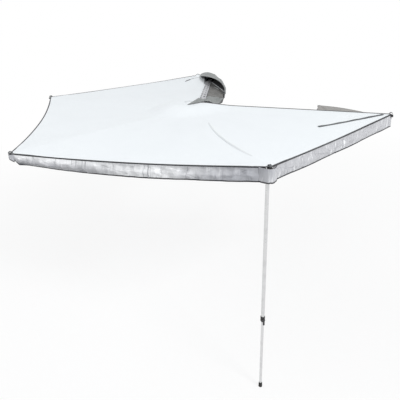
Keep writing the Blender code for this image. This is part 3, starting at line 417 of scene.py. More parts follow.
def edge_spot(index, share):
    """A point on a panel's outer edge, which curves in between its corners."""
    start, end = panel_frame(index)
    cut = edge_outward(index) * 4 * PANEL_CUT[index] * share * (1 - share)
    return start[2].lerp(end[2], share) - cut


def edge_share(index, from_end, distance):
    """How far along the outer edge a point lies that is this far beside the nearer arm."""
    start, end = panel_frame(index)
    side = arm_direction(end[1] if from_end else start[1])[1]
    share = distance / (end[2] - start[2]).dot(side)
    return 1 - share if from_end else share


def level_ends(index):
    """Where along the outer edge the level strips beside the two arms end."""
    return edge_share(index, False, ARM_FLAT), edge_share(index, True, ARM_FLAT)


def panel_height(index, rise, outward):
    """Height between the two arms, sagging in the middle and more towards the outer edge."""
    start, end = panel_frame(index)
    sag = PANEL_SAG[index] * math.sin(math.pi * rise) * outward ** 1.2
    return mix(start[3], end[3], rise) - sag


def front_lift(share, outward):
    """The front edge is held up where it leaves the bag, and runs straight to the first arm."""
    # A quick step and a slow rise at the bag, then a small peak, and gathers next to it
    rise = mix(smooth_rise(share, 0.010, 0.119), smooth_rise(share, 0.0, 0.018), 0.65)
    lift = FRONT_EDGE_LIFT * (1 - share) * rise * smooth_rise(outward, 0.60, 1.0)
    peak = 0.023 * bell(share, 0.074, 0.013) * smooth_rise(outward, 0.950, 1.0)
    gather = bell(share, 0.105, 0.030) * smooth_rise(outward, 0.94, 0.99)
    return lift + peak + 0.0040 * math.sin(share * 260.0 + outward * 30.0) * gather


# The part of a panel's cells, at each side, that lies level beside an arm
LEVEL_BAND = 0.03


def across_panel(index, across):
    """Hub share, edge share and rise at a share of the way across, level over the arms."""
    start, end = panel_frame(index)
    width = HUB_RADIUS * math.radians(end[0] - start[0])
    flat = min(ARM_FLAT, 0.3 * width) / width
    low, high = level_ends(index)
    if across < LEVEL_BAND:
        share = across / LEVEL_BAND
        return mix(0.0, flat, share), mix(0.0, low, share), 0.0
    if across > 1 - LEVEL_BAND:
        share = (1 - across) / LEVEL_BAND
        return 1 - flat * share, mix(1.0, high, share), 1.0
    rise = (across - LEVEL_BAND) / (1 - 2 * LEVEL_BAND)
    return mix(flat, 1 - flat, rise), mix(low, high, rise), rise


def tension_folds(index, rise, outward):
    """Shallow folds that fan out of the panel's two outer corners and its hub."""
    height = 0.0
    edge = math.sin(math.pi * rise)
    for corner, seed in ((0.0, 1.3), (1.0, 4.1)):
        dx, dy = rise - corner, (1.0 - outward) * 1.4
        reach = math.hypot(dx, dy)
        if reach > 1e-4:
            ray = math.atan2(dy, abs(dx))
            fan = math.sin(ray * 23.0 + seed + index) + 0.5 * math.sin(ray * 41.0 + 2 * seed)
            height += 0.0030 * fan * bell(reach, 0.10, 0.16)
    hub = math.sin(rise * 19.0 + index * 2.0) * math.exp(-outward * 7.0) * 0.0018
    wide = noise.noise(Vector((rise * 3.0 + index * 9.0, outward * 2.2, 0.5))) * 0.0045
    return (height + hub + wide) * edge ** 0.7


def panel_point(index, across, outward):
    """A point on the canopy's skin."""
    start, end = panel_frame(index)
    hub_share, share, rise = across_panel(index, across)
    hub = arm_spot(mix(start[0], end[0], hub_share), HUB_RADIUS)
    place = hub.lerp(edge_spot(index, share), outward)
    height = draped(place, panel_height(index, rise, min(outward, 1.0)))
    if index == 0:
        height += front_lift(share, min(outward, 1.0))
    calm = smooth_rise(outward, 0.03, 0.15)
    return Vector((*place, height + tension_folds(index, rise, outward) * calm))


def fan_weights(piece, index):
    """Each point's share of the way between the panel's two sides, by its angle about the pin."""
    start, end = panel_frame(index)
    weights = []
    for vertex in piece.data.vertices:
        offset = vertex.co.xy - PIN
        angle = math.degrees(math.atan2(-offset.x, offset.y)) % 360.0
        if index == 0 and angle > 180.0:
            angle -= 360.0
        low = start[1]
        if index == 0:
            # The first panel starts along the rail, whose angle changes on the way ahead
            low = math.degrees(math.atan2(PIN.x - RAIL_EDGE_X, max(offset.y, 0.02)))
        weights.append(unit((angle - low) / (end[1] - low)))
    return weights


# Piece makers

def show(name, bm, look, slot, body=None):
    """Finish a bmesh as a shown piece, attached to a body when one is given."""
    mesh = bpy.data.meshes.new(name)
    bm.to_mesh(mesh)
    bm.free()
    mesh.shade_smooth()
    piece = bpy.data.objects.new(name, mesh)
    bpy.context.scene.collection.objects.link(piece)
    piece.data.materials.append(look.material)
    if body:
        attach(piece, body)
    return piece


# How thick each kind of cloth, webbing and binding is drawn
RIDGE_THICK, SKIN_THICK, APRON_THICK, BAG_THICK = 0.0004, 0.0008, 0.0009, 0.0010
STRIP_THICK, STRAP_THICK, TAB_THICK, WEB_THICK = 0.0012, 0.0014, 0.0015, 0.0016
LID_THICK, TRAY_THICK, SEAM_THICK, HEM_THICK = 0.0016, 0.0018, 0.0018, 0.0020
TAPE_THICK, CORNER_TAPE_THICK, EDGE_THICK = 0.0024, 0.0026, 0.0034
TRAY_EDGE_THICK, ZIP_THICK = 0.0044, 0.0060


def cloth_sheet(name, cells, place, look, thickness, size, slot, body=None):
    """A grid laid to place(u, v), with a UV map of this size in metres, then made thick."""
    bm = bmesh.new()
    layer = bm.loops.layers.uv.new("UVMap")
    bmesh.ops.create_grid(bm, x_segments=cells[0], y_segments=cells[1], size=0.5,
                          calc_uvs=True)
    shares = {vert: (vert.co.x + 0.5, vert.co.y + 0.5) for vert in bm.verts}
    for face in bm.faces:
        for loop in face.loops:
            u, v = shares[loop.vert]
            loop[layer].uv = (u * size[0], v * size[1])
    for vert, (u, v) in shares.items():
        vert.co = place(u, v)
    bmesh.ops.recalc_face_normals(bm, faces=bm.faces)
    piece = show(name, bm, look, slot, body)
    skin = piece.modifiers.new("thickness", "SOLIDIFY")
    skin.thickness = thickness
    skin.offset = 0.0
    return piece


def blend_fan(piece, index):
    """Bake a canopy piece's place into its mesh, and work out each point's share between the two
    arms beside it.
    """
    start, end = panel_frame(index)
    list(start[2])
    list(end[2])
    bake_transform(piece)
    weights = fan_weights(piece, index)


# Canopy: one skin, its seams over the arms, its bound edges

PANEL_CELLS = (96, 88)
TAPE_ROWS = 3
# The first panel's cells crowd towards the rail, and every panel's rows towards the hub
FIRST_PANEL_CROWDING, ROW_CROWDING = 1.5, 1.3
# Each panel's longest width, its length from the hub, and its cut area
PANEL_FLAT = ((2.06, 1.86, 1.64), (2.16, 1.86, 1.53), (1.94, 1.86, 1.50), (1.66, 1.86, 1.36))
BINDING_WIDTH = 0.013


def panel_cloth(number):
    """One panel of the canopy's skin, with the tape that binds its outer edge."""
    width, length, cut_area = PANEL_FLAT[number]
    closer = FIRST_PANEL_CROWDING if number == 0 else 1.0
    reach = BINDING_WIDTH / ARM_LENGTH
    bound = 1.0 - TAPE_ROWS / PANEL_CELLS[1]

    def skin_place(u, v):
        if v < bound - 1e-6:
            outward = (1.0 - reach) * (v / bound) ** ROW_CROWDING
        else:
            outward = mix(1.0 - reach, 1.0, (v - bound) / (1 - bound))
        return panel_point(number, u ** closer, outward)

    skin = cloth_sheet(f"canopy_skin_{number + 1}", PANEL_CELLS, skin_place,
                       canvas, SKIN_THICK, (width, length), "white_canvas")
    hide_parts(f"canopy_panel_{number + 1}")
    blend_fan(skin, number)
    tape = cloth_sheet(f"canopy_binding_{number + 1}", (PANEL_CELLS[0], TAPE_ROWS),
                       lambda u, v: panel_point(number, u ** closer,
                                                mix(1.0 - reach, 1.0012, v)),
                       binding, EDGE_THICK, (width, BINDING_WIDTH), "grey_webbing")
    blend_fan(tape, number)


for number in range(4):
    panel_cloth(number)


def over_arm(name, index, radii, cells, profile, width, look, thickness, slot):
    """A strip along an arm: profile(v) is its place across the arm and above the cloth."""
    level = canopy_level(index)

    def place(u, v):
        across, lift = profile(v)
        spot = arm_spot(ARM_ANGLES[index], mix(*radii, u), across)
        return Vector((*spot, draped(spot, level) + lift))

    length = radii[1] - radii[0]
    strip = cloth_sheet(name, cells, place, look, thickness, (length, width), slot, ARMS[index])


# From and to which radius the seams over the arms and the rear edge's binding run
SEAM_REACH, REAR_EDGE_REACH = (0.150, 1.832), (0.060, 1.842)
SEAM_WIDTH, REAR_EDGE_WIDTH = 0.016, 0.034


def seam_profile(v):
    """A low ridge whose edges sink into the skin."""
    return SEAM_WIDTH * (v - 0.5), -0.0008 + 0.0015 * math.sin(math.pi * v)


def rear_edge_profile(v):
    """From the last arm's top, out over its side and down."""
    if v < 0.5:
        return mix(0.0, 0.0192, v * 2), 0.0012
    return 0.0194, mix(0.0010, -0.0130, v * 2 - 1)


for index in range(3):
    over_arm(f"arm_seam_{index + 1}", index, SEAM_REACH, (90, 8), seam_profile, SEAM_WIDTH,
             canvas, RIDGE_THICK, "white_canvas")
over_arm("rear_edge_binding", 3, REAR_EDGE_REACH, (100, 8), rear_edge_profile,
         REAR_EDGE_WIDTH, binding, STRIP_THICK, "grey_webbing")

# Each arm's bands lie a little further out than those of the arm below
BAND_RADII, BAND_STEP, BAND_WIDTH = (0.42, 0.86, 1.30), 0.05, 0.028


def arm_bands():
    """Webbing bands round each arm, sewn under the canopy."""
    for index, arm in enumerate(ARMS):
        bm = bmesh.new()
        level = ARM_1_Z + index * ARM_PITCH
        turn = Matrix.Rotation(math.radians(ARM_ANGLES[index]), 4, "Z")
        home = Matrix.Translation((PIN.x, PIN.y, level)) @ turn
        for radius in BAND_RADII:
            place = home @ Matrix.Translation((0.0, radius + BAND_STEP * index, 0.0))
            bmesh.ops.create_cube(bm, size=1.0, matrix=place @ Matrix.Diagonal(
                (ARM_WIDTH + 0.0028, BAND_WIDTH, ARM_HEIGHT + 0.0020, 1.0)))
        bands = show(f"{arm}_bands", bm, webbing, "grey_webbing", arm)
        edge = bands.modifiers.new("edge", "BEVEL")
        edge.width = 0.0010
        edge.segments = 2
        bands.data.shade_flat()


arm_bands()


# Valances: crumpled silver strips with a bound foot

# Cut lengths, cells along, cells down, and the foot tape's width
VALANCE_LENGTHS = (1.95, 1.68)
VALANCE_ALONG, VALANCE_DOWN = 380, 28
FOOT_TAPE = 0.009
# How far the first valance runs until its slanting end has its full drop
SLANT_RUN = 0.052
# How far below the canopy's level the head lies, and the foot besides its drop
HEAD_BELOW, FOOT_BELOW = 0.0012, 0.0020
# By panel: how far the cloth is drawn in below its head, and how deep its creases are
VALANCE_TUCK = {2: 0.014, 3: 0.005}
VALANCE_CREASE = {2: 0.0190, 3: 0.0100}


def crumple(run, down, seed, size):
    """Creased cloth: sharp ridges and soft swells, in metres along the strip and down it."""
    where = Vector((run * 15.0 + down * 6.0, down * 17.0 - run * 3.0, seed))
    sharp = 2.6 * (noise.voronoi(where)[0][0] - 0.42)
    soft = noise.noise(Vector((run * 6.0 + down * 22.0, down * 9.0, seed + 7.0)))
    return size * (0.55 * sharp + 0.8 * soft)


def pinched_lines(run, down, seed):
    """Thin creases where the cloth has been folded away."""
    depth = 0.0
    for lean, turn in ((9.0, 0.0), (-12.0, 4.0)):
        line = noise.noise(Vector((run * 5.0 + down * lean, down * 7.0 + turn, seed + turn)))
        depth += bell(line, 0.0, 0.05)
    return -0.0045 * depth


def slanting_folds(run, v, seed):
    """Long folds that lean, gather and fade along the strip."""
    strength = 0.5 + noise.noise(Vector((run * 2.3, 0.0, seed)))
    lean = abs(math.sin(run * 10.0 + v * 2.8 + seed)) ** 0.7 - 0.6
    lean += 0.6 * math.sin(run * 33.0 - v * 3.4)
    return 0.0095 * strength * lean


def corner_fold(to_corner, v):
    """The long fold that rises towards the pole's corner."""
    held = smooth_rise(-to_corner, -0.64, -0.34) * smooth_rise(to_corner, 0.03, 0.14)
    crest = mix(0.30, 0.78, smooth_rise(to_corner, 0.08, 0.60))
    return 0.019 * held * bell(v, crest, 0.19)


def valance_point(index, slanted, u, v, clear=0.0):
    """A point on a hanging valance, u along the edge and v down from it."""
    length = edge_length(index)
    # The slanting end starts clear of its arm's cap, the others right beside an arm
    first = 0.0200 if slanted else 0.0006
    share = mix(edge_share(index, False, first), edge_share(index, True, 0.0006), u)
    low, high = level_ends(index)
    rise = unit((share - low) / (high - low))
    level = panel_height(index, rise, 1.0)
    beside = min(share - low, high - share) * length
    under_arm = 1.0 - smooth_rise(beside, -0.004, 0.004)
    top = level - HEAD_BELOW - under_arm * (ARM_HEIGHT + 0.003)
    bottom = level - FOOT_BELOW - VALANCE_DROP
    run = share * length
    if slanted:
        bottom += VALANCE_SHORTER * (1 - smooth_rise(run, 0.0, 0.40))
        bottom = mix(top - 0.004, bottom, min(run / SLANT_RUN, 1.0))
    # Calm near its two ends, held at its head and its foot
    calm = smooth_rise(run, 0.0, 0.12) * smooth_rise(length - run, 0.03, 0.16)
    held = smooth_rise(v, 0.05, 0.35) * (1.0 - 0.85 * smooth_rise(v, 0.72, 1.0))
    tuck = -VALANCE_TUCK[index] * math.sin(math.pi * min(v / 0.55, 1.0)) * (0.3 + 0.7 * calm)
    loose = crumple(run, v * VALANCE_DROP, index * 3.0, VALANCE_CREASE[index])
    loose += slanting_folds(run, v, index * 1.7) + pinched_lines(run, v * VALANCE_DROP, index)
    out = tuck + loose * held * calm
    if slanted:
        # Towards its slanting end the cloth bellies out and rolls in at the foot
        rolled = calm * (1 - smooth_rise(run, 0.35, 0.95))
        out += rolled * (0.030 * math.sin(math.pi * min(v / 0.8, 1.0)) - 0.050 * v ** 2)
        out += corner_fold(length - run, v)
        bottom -= 0.009 * rolled
    out += 0.0030 * math.sin(run * 11.0 + index) * v * calm + clear
    place = edge_spot(index, share) + edge_outward(index) * out
    return Vector((*place, mix(top, bottom, v)))


def valance(number, index, slanted, seams):
    """One valance with its edge tapes, and the upright seams that join its lengths."""
    width = VALANCE_LENGTHS[number - 1]

    def strip(name, cells, across, down, look, thickness, size, slot, clear=0.0):
        """A strip of the valance, from one share to another along it and down it."""
        return cloth_sheet(
            name, cells, lambda u, v: valance_point(index, slanted, mix(*across, u),
                                                    mix(*down, v), clear),
            look, thickness, size, slot)

    cloth = strip(f"valance_cloth_{number}", (VALANCE_ALONG, VALANCE_DOWN), (0.0, 1.0),
                  (0.0, 1.0), silver_painted_light_and_shade if slanted else silver, SKIN_THICK,
                  (width, VALANCE_DROP), "silver_cloth")
    tapes = [
        strip(f"valance_foot_{number}", (VALANCE_ALONG, 3), (0.0, 1.0),
              (1.0 - FOOT_TAPE / VALANCE_DROP, 1.004), binding, TAPE_THICK,
              (width, FOOT_TAPE), "grey_webbing"),
        strip(f"valance_head_{number}", (VALANCE_ALONG, 2), (0.0, 1.0), (0.0, 0.050),
              binding, TAPE_THICK, (width, 0.008), "grey_webbing"),
    ]
    for count, seam in enumerate(seams):
        tapes.append(strip(f"valance_seam_{number}_{count + 1}", (3, VALANCE_DOWN),
                           (seam, seam + 0.005), (0.05, 0.94), silver, SEAM_THICK,
                           (0.009, VALANCE_DROP), "silver_cloth", 0.0010))
    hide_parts(f"valance_{number}")
    for piece in (cloth, *tapes):
        blend_fan(piece, index)


valance(1, 2, True, (0.306, 0.555))
valance(2, 3, False, (0.745,))


CORNER_CLEAR = 0.0014


def corner_point(index, reach, bulge, drops, u, v, clear=0.0):
    """Silver cloth that wraps round an arm's cap, from one canopy edge to the next."""
    before = (edge_spot(index, 1 - reach / edge_length(index))
              + edge_outward(index) * CORNER_CLEAR)
    after = (edge_spot(index + 1, reach / edge_length(index + 1))
             + edge_outward(index + 1) * CORNER_CLEAR)
    control = arm_spot(ARM_ANGLES[index], ARM_LENGTH + bulge)
    spot = before * (1 - u) ** 2 + control * 2 * u * (1 - u) + after * u ** 2
    middle = math.sin(math.pi * u)
    fan = math.sin(u * 21.0 + 1.0) + 0.6 * math.sin(u * 38.0)
    ahead = arm_direction(ARM_ANGLES[index])[0]
    spot += ahead * ((0.030 * bulge * fan * v - 0.05 * bulge * v) * middle + clear)
    top = canopy_level(index) - 0.0030 - 0.002 * middle
    bottom = canopy_level(index) - FOOT_BELOW - mix(*drops, u ** 1.6)
    return Vector((*spot, mix(top, bottom, v)))


def corner_cloth(index, reach, bulge, drops, width):
    """One wrapped corner with the binding at its foot."""
    cloth = cloth_sheet(f"corner_cloth_{index + 1}", (60, VALANCE_DOWN),
                        lambda u, v: corner_point(index, reach, bulge, drops, u, v),
                        silver_corner, SKIN_THICK, (width, max(drops)), "silver_cloth",
                        ARMS[index])
    foot = 1.0 - FOOT_TAPE / max(drops)
    tape = cloth_sheet(f"corner_foot_{index + 1}", (60, 3),
                       lambda u, v: corner_point(index, reach, bulge, drops, u,
                                                 mix(foot, 1.004, v), 0.0004),
                       binding, CORNER_TAPE_THICK, (width, FOOT_TAPE), "grey_webbing", ARMS[index])


corner_cloth(1, 0.034, 0.038, (0.024, 0.062), 0.09)
corner_cloth(2, 0.075, 0.087, (VALANCE_DROP, VALANCE_DROP), 0.19)


LOOP_FLAT, LOOP_RISE, LOOP_FOLDED_SHARE = (0.047, 0.018), 0.015, 0.08


def corner_loops():
    """Black webbing loops on the canopy's corners."""
    for index, arm in enumerate(ARMS):
        def place(u, v, index=index):
            angle = math.pi * u
            along = ARM_LENGTH - 0.010 + LOOP_RISE * math.cos(angle)
            spot = arm_spot(ARM_ANGLES[index], along, LOOP_FLAT[1] * (v - 0.5))
            return Vector((*spot, canopy_level(index) + 0.0016 + LOOP_RISE * math.sin(angle)))

        loop = cloth_sheet(f"{arm}_corner_loop", (24, 4), place, webbing, HEM_THICK, LOOP_FLAT,
                           "grey_webbing", arm)
        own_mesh(loop)


corner_loops()


# Crease, straps, side flap and its tab

# The same level strips beside the arms, as a share of the angle between them
ANGLE_MARGIN = 0.012


def surface_height(index, place):
    """Height of the canopy's skin under a point, from its angle between the arms."""
    start, end = panel_frame(index)
    offset = place - PIN
    angle = math.degrees(math.atan2(-offset.x, offset.y)) % 360.0
    across = (angle - start[1]) / (end[1] - start[1])
    reach = (edge_spot(index, across) - PIN).length
    outward = min(offset.length / reach, 1.0)
    rise = unit((across - ANGLE_MARGIN) / (1 - 2 * ANGLE_MARGIN))
    return draped(place, panel_height(index, rise, outward))


CREASE_FLAT, CREASE_REACH = (1.02, 0.025), (0.62, 1.62)


def canopy_crease():
    """The soft crease that the third arm presses into the canopy beside it, its cloth painted
    darker as painted shade.
    """
    def place(u, v):
        across = -0.016 - 0.052 * math.sin(math.pi * u) ** 0.8 + CREASE_FLAT[1] * (v - 0.5)
        spot = arm_spot(ARM_ANGLES[2], mix(*CREASE_REACH, u), across)
        height = 0.0072 * math.sin(math.pi * v) ** 1.5 * math.sin(math.pi * u) ** 0.7
        return Vector((*spot, surface_height(2, spot) - 0.0008 + height))

    crease = cloth_sheet("canopy_crease", (90, 8), place, crease_shade_cloth, SKIN_THICK, CREASE_FLAT,
                         "white_canvas")
    blend_fan(crease, 2)


canopy_crease()


STRAP_FLAT = (0.665, 0.025)


def canopy_webbing():
    """A webbing strap that lies loose on the last panel, its tip folded back and sewn."""
    start, end = Vector((0.930, -1.350)), Vector((1.515, -1.035))
    side = Vector((end.y - start.y, start.x - end.x)).normalized() * (STRAP_FLAT[1] / 2)

    def place(u, v, above=0.0):
        bend = side * (0.25 * math.sin(u * 5.0))
        spot = start.lerp(end, u) + side * (2 * v - 1) + bend
        ripple = 0.0011 * (1.0 + math.sin(u * 26.0))
        return Vector((*spot, surface_height(3, spot) + 0.0030 + ripple + above))

    strap = cloth_sheet("canopy_webbing", (60, 4), place, webbing, STRAP_THICK, STRAP_FLAT,
                        "grey_webbing")
    tip = cloth_sheet("canopy_webbing_tip", (6, 4), lambda u, v: place(u * 0.06, v, 0.0015),
                      webbing, STRAP_THICK, (0.040, 0.025), "grey_webbing")
    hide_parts("canopy_strap")
    for piece in (strap, tip):
        blend_fan(piece, 3)


canopy_webbing()


def front_spot(share, outward):
    """A point on the first panel's skin from its place along the outer edge."""
    low, high = level_ends(0)
    rise = unit((share - low) / (high - low))
    return panel_point(0, mix(LEVEL_BAND, 1 - LEVEL_BAND, rise), outward)


# The strap's cut size, then the places where it starts, where the seam takes over and where
# that ends: each a share along the panel's outer edge, and a share of the way out to it
FRONT_STRAP_FLAT = (0.106, 0.019)
STRAP_START, STRAP_END, FRONT_SEAM_END = (0.170, 0.860), (0.130, 0.893), (0.062, 0.938)


def front_strap():
    """A short dark strap on the first panel, and the pale seam that runs on from it."""
    def along_front(first, last, half_width, above):
        def place(u, v):
            share, outward = mix(first[0], last[0], u), mix(first[1], last[1], u)
            return front_spot(share, outward + half_width * (2 * v - 1)) + Vector((0, 0, above))
        return place

    dark = cloth_sheet("front_strap", (24, 4),
                       along_front(STRAP_START, STRAP_END, 0.0075, 0.0028),
                       webbing, WEB_THICK, FRONT_STRAP_FLAT, "grey_webbing")
    pale = cloth_sheet("front_strap_seam", (24, 3),
                       along_front(STRAP_END, FRONT_SEAM_END, 0.0022, 0.0018),
                       lid_binding, STRIP_THICK, (0.160, 0.008), "grey_bag_cloth")
    for piece in (dark, pale):
        blend_fan(piece, 0)


front_strap()


# The side flap's cut size and area, its root along the last arm, its apex at the hook, and
# the flat size of the tab between them
FLAP_FLAT, FLAP_AREA = (0.46, 0.86), 0.20
FLAP_ROOT = (1.195, 1.655)
HOOK_X, FLAP_APEX_Y, FLAP_APEX_Z = 1.128, -0.060, 0.0285
TAB_FLAT = (0.047, 0.025)


def flap_point(u, v):
    """The side flap: v down from the arm to the hook, u across it."""
    clear = ARM_WIDTH / 2 + 0.002
    apex, half_apex = Vector((HOOK_X, FLAP_APEX_Y)), Vector((0.012, 0.0))
    start = arm_spot(ARM_ANGLES[3], FLAP_ROOT[0], clear).lerp(apex - half_apex, v)
    end = arm_spot(ARM_ANGLES[3], FLAP_ROOT[1], clear).lerp(apex + half_apex, v)
    place = start.lerp(end, u)
    sag = (0.030 * (1 - u) - 0.009 * u) * math.sin(math.pi * v)
    sag += 0.010 * math.sin(math.pi * u) * (1 - v)
    fold = math.sin(math.pi * u) * 0.0050 * math.sin(u * 9.0 + v * 3.0)
    fold += math.sin(math.pi * u) * 0.0026 * math.sin(u * 21.0 - v * 4.0)
    height = mix(canopy_level(3) - 0.004, FLAP_APEX_Z, v) - sag + fold * math.sin(math.pi * v)
    return Vector((*place, height))


def gather_flap(piece):
    """Work out the flap's root and directions, and give a flap piece its own mesh."""
    root, down = flap_point(0.0, 0.0), flap_point(0.5, 1.0) - flap_point(0.0, 0.0)
    along = (flap_point(1.0, 0.0) - root).normalized()
    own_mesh(piece)


def tab_point(u, v):
    """The webbing tab from the flap's apex to the hook."""
    ripple = 0.0006 * math.sin(u * 9.0)
    return Vector((HOOK_X + TAB_FLAT[1] * (v - 0.5), mix(-0.0585, -0.0125, u),
                   mix(FLAP_APEX_Z, 0.0195, u) + ripple))


def side_flap():
    """The tie-down flap on the last arm, with its two hems and its tab."""
    cloth = cloth_sheet("side_flap_cloth", (40, 60), flap_point, taupe, SKIN_THICK, FLAP_FLAT,
                        "taupe_cloth", "arm_4")
    edges = [cloth_sheet(f"side_flap_hem_{name}", (3, 60),
                         lambda s, v, edge=edge: flap_point(mix(*edge, s), v),
                         taupe, HEM_THICK, (0.018, FLAP_FLAT[1]), "taupe_cloth", "arm_4")
             for name, edge in (("rear", (0.0, 0.04)), ("front", (1.0, 0.96)))]
    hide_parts("side_flap")
    tab = cloth_sheet("flap_tab_webbing", (14, 4), tab_point, webbing, TAB_THICK, TAB_FLAT,
                      "grey_webbing", "arm_4")
    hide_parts("flap_tab")
    for piece in (cloth, *edges, tab):
        gather_flap(piece)


side_flap()


# Hem on the rail and the cover over the hinge

HEM_ENDS, HEM_FLAT = (-0.350, 1.285), (1.635, 0.072)
HEM_OUTER_X, HEM_INNER_X, HEM_INNER_Z = -0.1535, -0.087, 0.0972
# Pairs of eyelets along the hem, as shares of its length, and the last share that has one
EYELET_PAIRS, EYELET_FIRST, EYELET_STEP, EYELET_LAST = 15, 0.030, 0.066, 0.97
# Each eyelet of a pair: its share across the hem and its shift along it
EYELETS = ((0.12, 0.0), (0.66, 0.035))
EYELET_RADIUS, EYELET_VARIES = 0.0082, 0.0036


def hem_point(u, v):
    """The gathered hem from the canopy's rail edge to the bag's lining."""
    y = mix(*HEM_ENDS, u)
    outer = draped((RAIL_EDGE_X, y), RAIL_EDGE_Z) + 0.0012
    rough = 0.0024 * (1.0 + math.sin(y * 74.0 + v * 2.0) * math.sin(y * 31.0))
    rough += abs(crumple(y, v * 0.06, 2.0, 0.0040)) * math.sin(math.pi * min(v + 0.1, 1.0))
    height = mix(outer, HEM_INNER_Z, smooth_rise(v, 0.0, 0.55)) + rough
    inner = HEM_INNER_X + 0.022 * (1 - smooth_rise(y, 0.0, 0.07))
    return Vector((mix(HEM_OUTER_X, inner, v), y, height))


def hem_eyelets():
    """Dark eyelets in pairs along the gathered hem."""
    bm = bmesh.new()
    for count in range(EYELET_PAIRS):
        for across, shift in EYELETS:
            u = EYELET_FIRST + EYELET_STEP * count + shift
            if u < EYELET_LAST:
                place = hem_point(u, across) + Vector((0, 0, 0.0018))
                uneven = noise.noise(Vector((u * 21.0, across * 9.0, 0.0)))
                bmesh.ops.create_uvsphere(bm, u_segments=12, v_segments=6,
                                          radius=EYELET_RADIUS + EYELET_VARIES * uneven,
                                          matrix=Matrix.Translation(place)
                                          @ Matrix.Diagonal((1.0, 1.4, 0.24, 1.0)))
    show("hem_eyelets", bm, plastic, "black_plastic", "base")


hem = cloth_sheet("rail_hem_cloth", (420, 12), hem_point, silver, SKIN_THICK,
                  (HEM_FLAT[0], 0.070), "silver_cloth", "base")
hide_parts("canopy_hem")
hem_eyelets()


# The cover's two long edges, from its tip ahead to the bag
COVER_TIP = Vector((-0.212, -0.703))
COVER_FAR = (COVER_TIP, Vector((-0.157, -0.525)), Vector((-0.108, -0.300)),
             Vector((-0.072, 0.060)))
COVER_NEAR = (COVER_TIP, Vector((-0.075, -0.590)), Vector((0.045, -0.330)),
              Vector((0.112, 0.052)))
# Its cloth starts this share behind the tip
COVER_START = 0.015
# The skirt hangs from the rear part of the cover's edge, from this share on
SKIRT_START, SKIRT_DROP = 0.42, 0.052


def along_edge(corners, share):
    position = share * (len(corners) - 1)
    index = min(int(position), len(corners) - 2)
    return corners[index].lerp(corners[index + 1], position - index)


def cover_point(u, v):
    """The loose flap over the hinge: u from its tip ahead to the bag, v from rail to right."""
    share = mix(COVER_START, 1.0, u)
    place = along_edge(COVER_FAR, share).lerp(along_edge(COVER_NEAR, share), v)
    fold = 0.0014 * math.sin(share * 13.5 + v * 7.8) * smooth_rise(share, 0.13, 0.53)
    fold += crumple(share * 1.4, v * 0.4, 5.0, 0.0055) * smooth_rise(share, 0.05, 0.4)
    droop = 0.014 * smooth_rise(v, 0.40, 1.0) * smooth_rise(share, 0.30, 0.60)
    return Vector((*place, draped(place, 0.0990) + 0.0064 + fold - droop))


def skirt_point(u, v):
    """The cover's near side, which hangs from its edge: black cloth as painted shade under the
    cover.
    """
    share = mix(SKIRT_START, 1.0, u)
    top = cover_point((share - COVER_START) / (1.0 - COVER_START), 0.98)
    sway = 0.0030 * math.sin(u * 26.0) * v
    return Vector((top.x - 0.020 * v + sway, top.y + 0.004 * v,
                   top.z - 0.0022 - SKIRT_DROP * v))


cover = cloth_sheet("hinge_cover_cloth", (90, 30), cover_point, bag_cloth, BAG_THICK,
                    (0.78, 0.17), "grey_bag_cloth", "base")
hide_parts("hinge_cover")
cover_edge = cloth_sheet("hinge_cover_binding", (90, 3),
                         lambda u, v: cover_point(u, mix(0.945, 1.0, v)) - Vector((0, 0, 0.0012)),
                         binding, TAPE_THICK, (0.80, 0.010), "grey_webbing", "base")
# Black lining hung under the cover's near edge: painted shade for the shadow beneath it
cover_shadow_skirt = cloth_sheet("hinge_cover_shadow_skirt", (90, 8), skirt_point, lining, BAG_THICK,
                          (0.48, 0.055), "black_lining", "base")


PATCH_RADIUS = 0.060


def hub_patch():
    """The round patch that closes the skin over the hinge."""
    bm = bmesh.new()
    bm.loops.layers.uv.new("UVMap")
    bmesh.ops.create_circle(bm, cap_ends=True, cap_tris=False, segments=64,
                            radius=PATCH_RADIUS, calc_uvs=True)
    bmesh.ops.inset_region(bm, faces=bm.faces[:], thickness=0.004, depth=0.0012)
    bmesh.ops.translate(bm, verts=bm.verts, vec=(PIN.x, PIN.y, HUB_HEIGHT - 0.0014))
    patch = show("hub_patch", bm, canvas, "white_canvas", "base")
    skin = patch.modifiers.new("thickness", "SOLIDIFY")
    skin.thickness = BAG_THICK


hub_patch()


# Storage bag: cut sizes of its lid, floor, inner panel, pull strap, ring's tab and front end

LID_FLAT, TRAY_FLAT, APRON_FLAT = (1.133, 0.36), (1.272, 0.245), (0.20, 0.66)
PULL_FLAT, RING_LOOP_FLAT, FRONT_FLAT = (0.172, 0.015), (0.053, 0.022), (0.210, 0.072)


def lid_share(y):
    return unit((y - LID_REAR) / (LID_FRONT - LID_REAR))


def lid_rise(y):
    return mix(LID_RISE_REAR, LID_RISE_FRONT, lid_share(y))


def bag_right(y):
    return mix(LID_RIGHT_REAR, LID_RIGHT_FRONT, lid_share(y) ** LID_TAPER)


def lid_point(y, along, slack=0.0):
    """A point on the lid's arch, from its right foot to its free edge."""
    turned = mix(LID_START_DEG, LID_END_DEG, lid_share(y) ** LID_GROWTH)
    angle = math.radians(turned) * along
    half = (bag_right(y) - LID_LEFT) / 2
    return Vector((bag_right(y) - half + (half + slack) * math.cos(angle), y,
                   LID_FOOT_Z + (lid_rise(y) + slack) * math.sin(angle)))


def lid_cloth_point(u, v):
    y = mix(LID_REAR, LID_FRONT, u)
    middle = math.sin(math.pi * min(v * 1.1, 1.0))
    slack = -0.0016 + 0.0034 * math.sin(y * 17.0 + v * 2.5) * middle
    slack += crumple(y, v * 0.35, 11.0, 0.0050) * middle
    return lid_point(y, v * (1 - 0.10 * smooth_rise(u, 0.75, 1.0)), slack)


def two_faced(piece, inside):
    """Give a cloth's inner side its own finish."""
    piece.data.materials.append(inside.material)
    piece.modifiers["thickness"].material_offset = 1


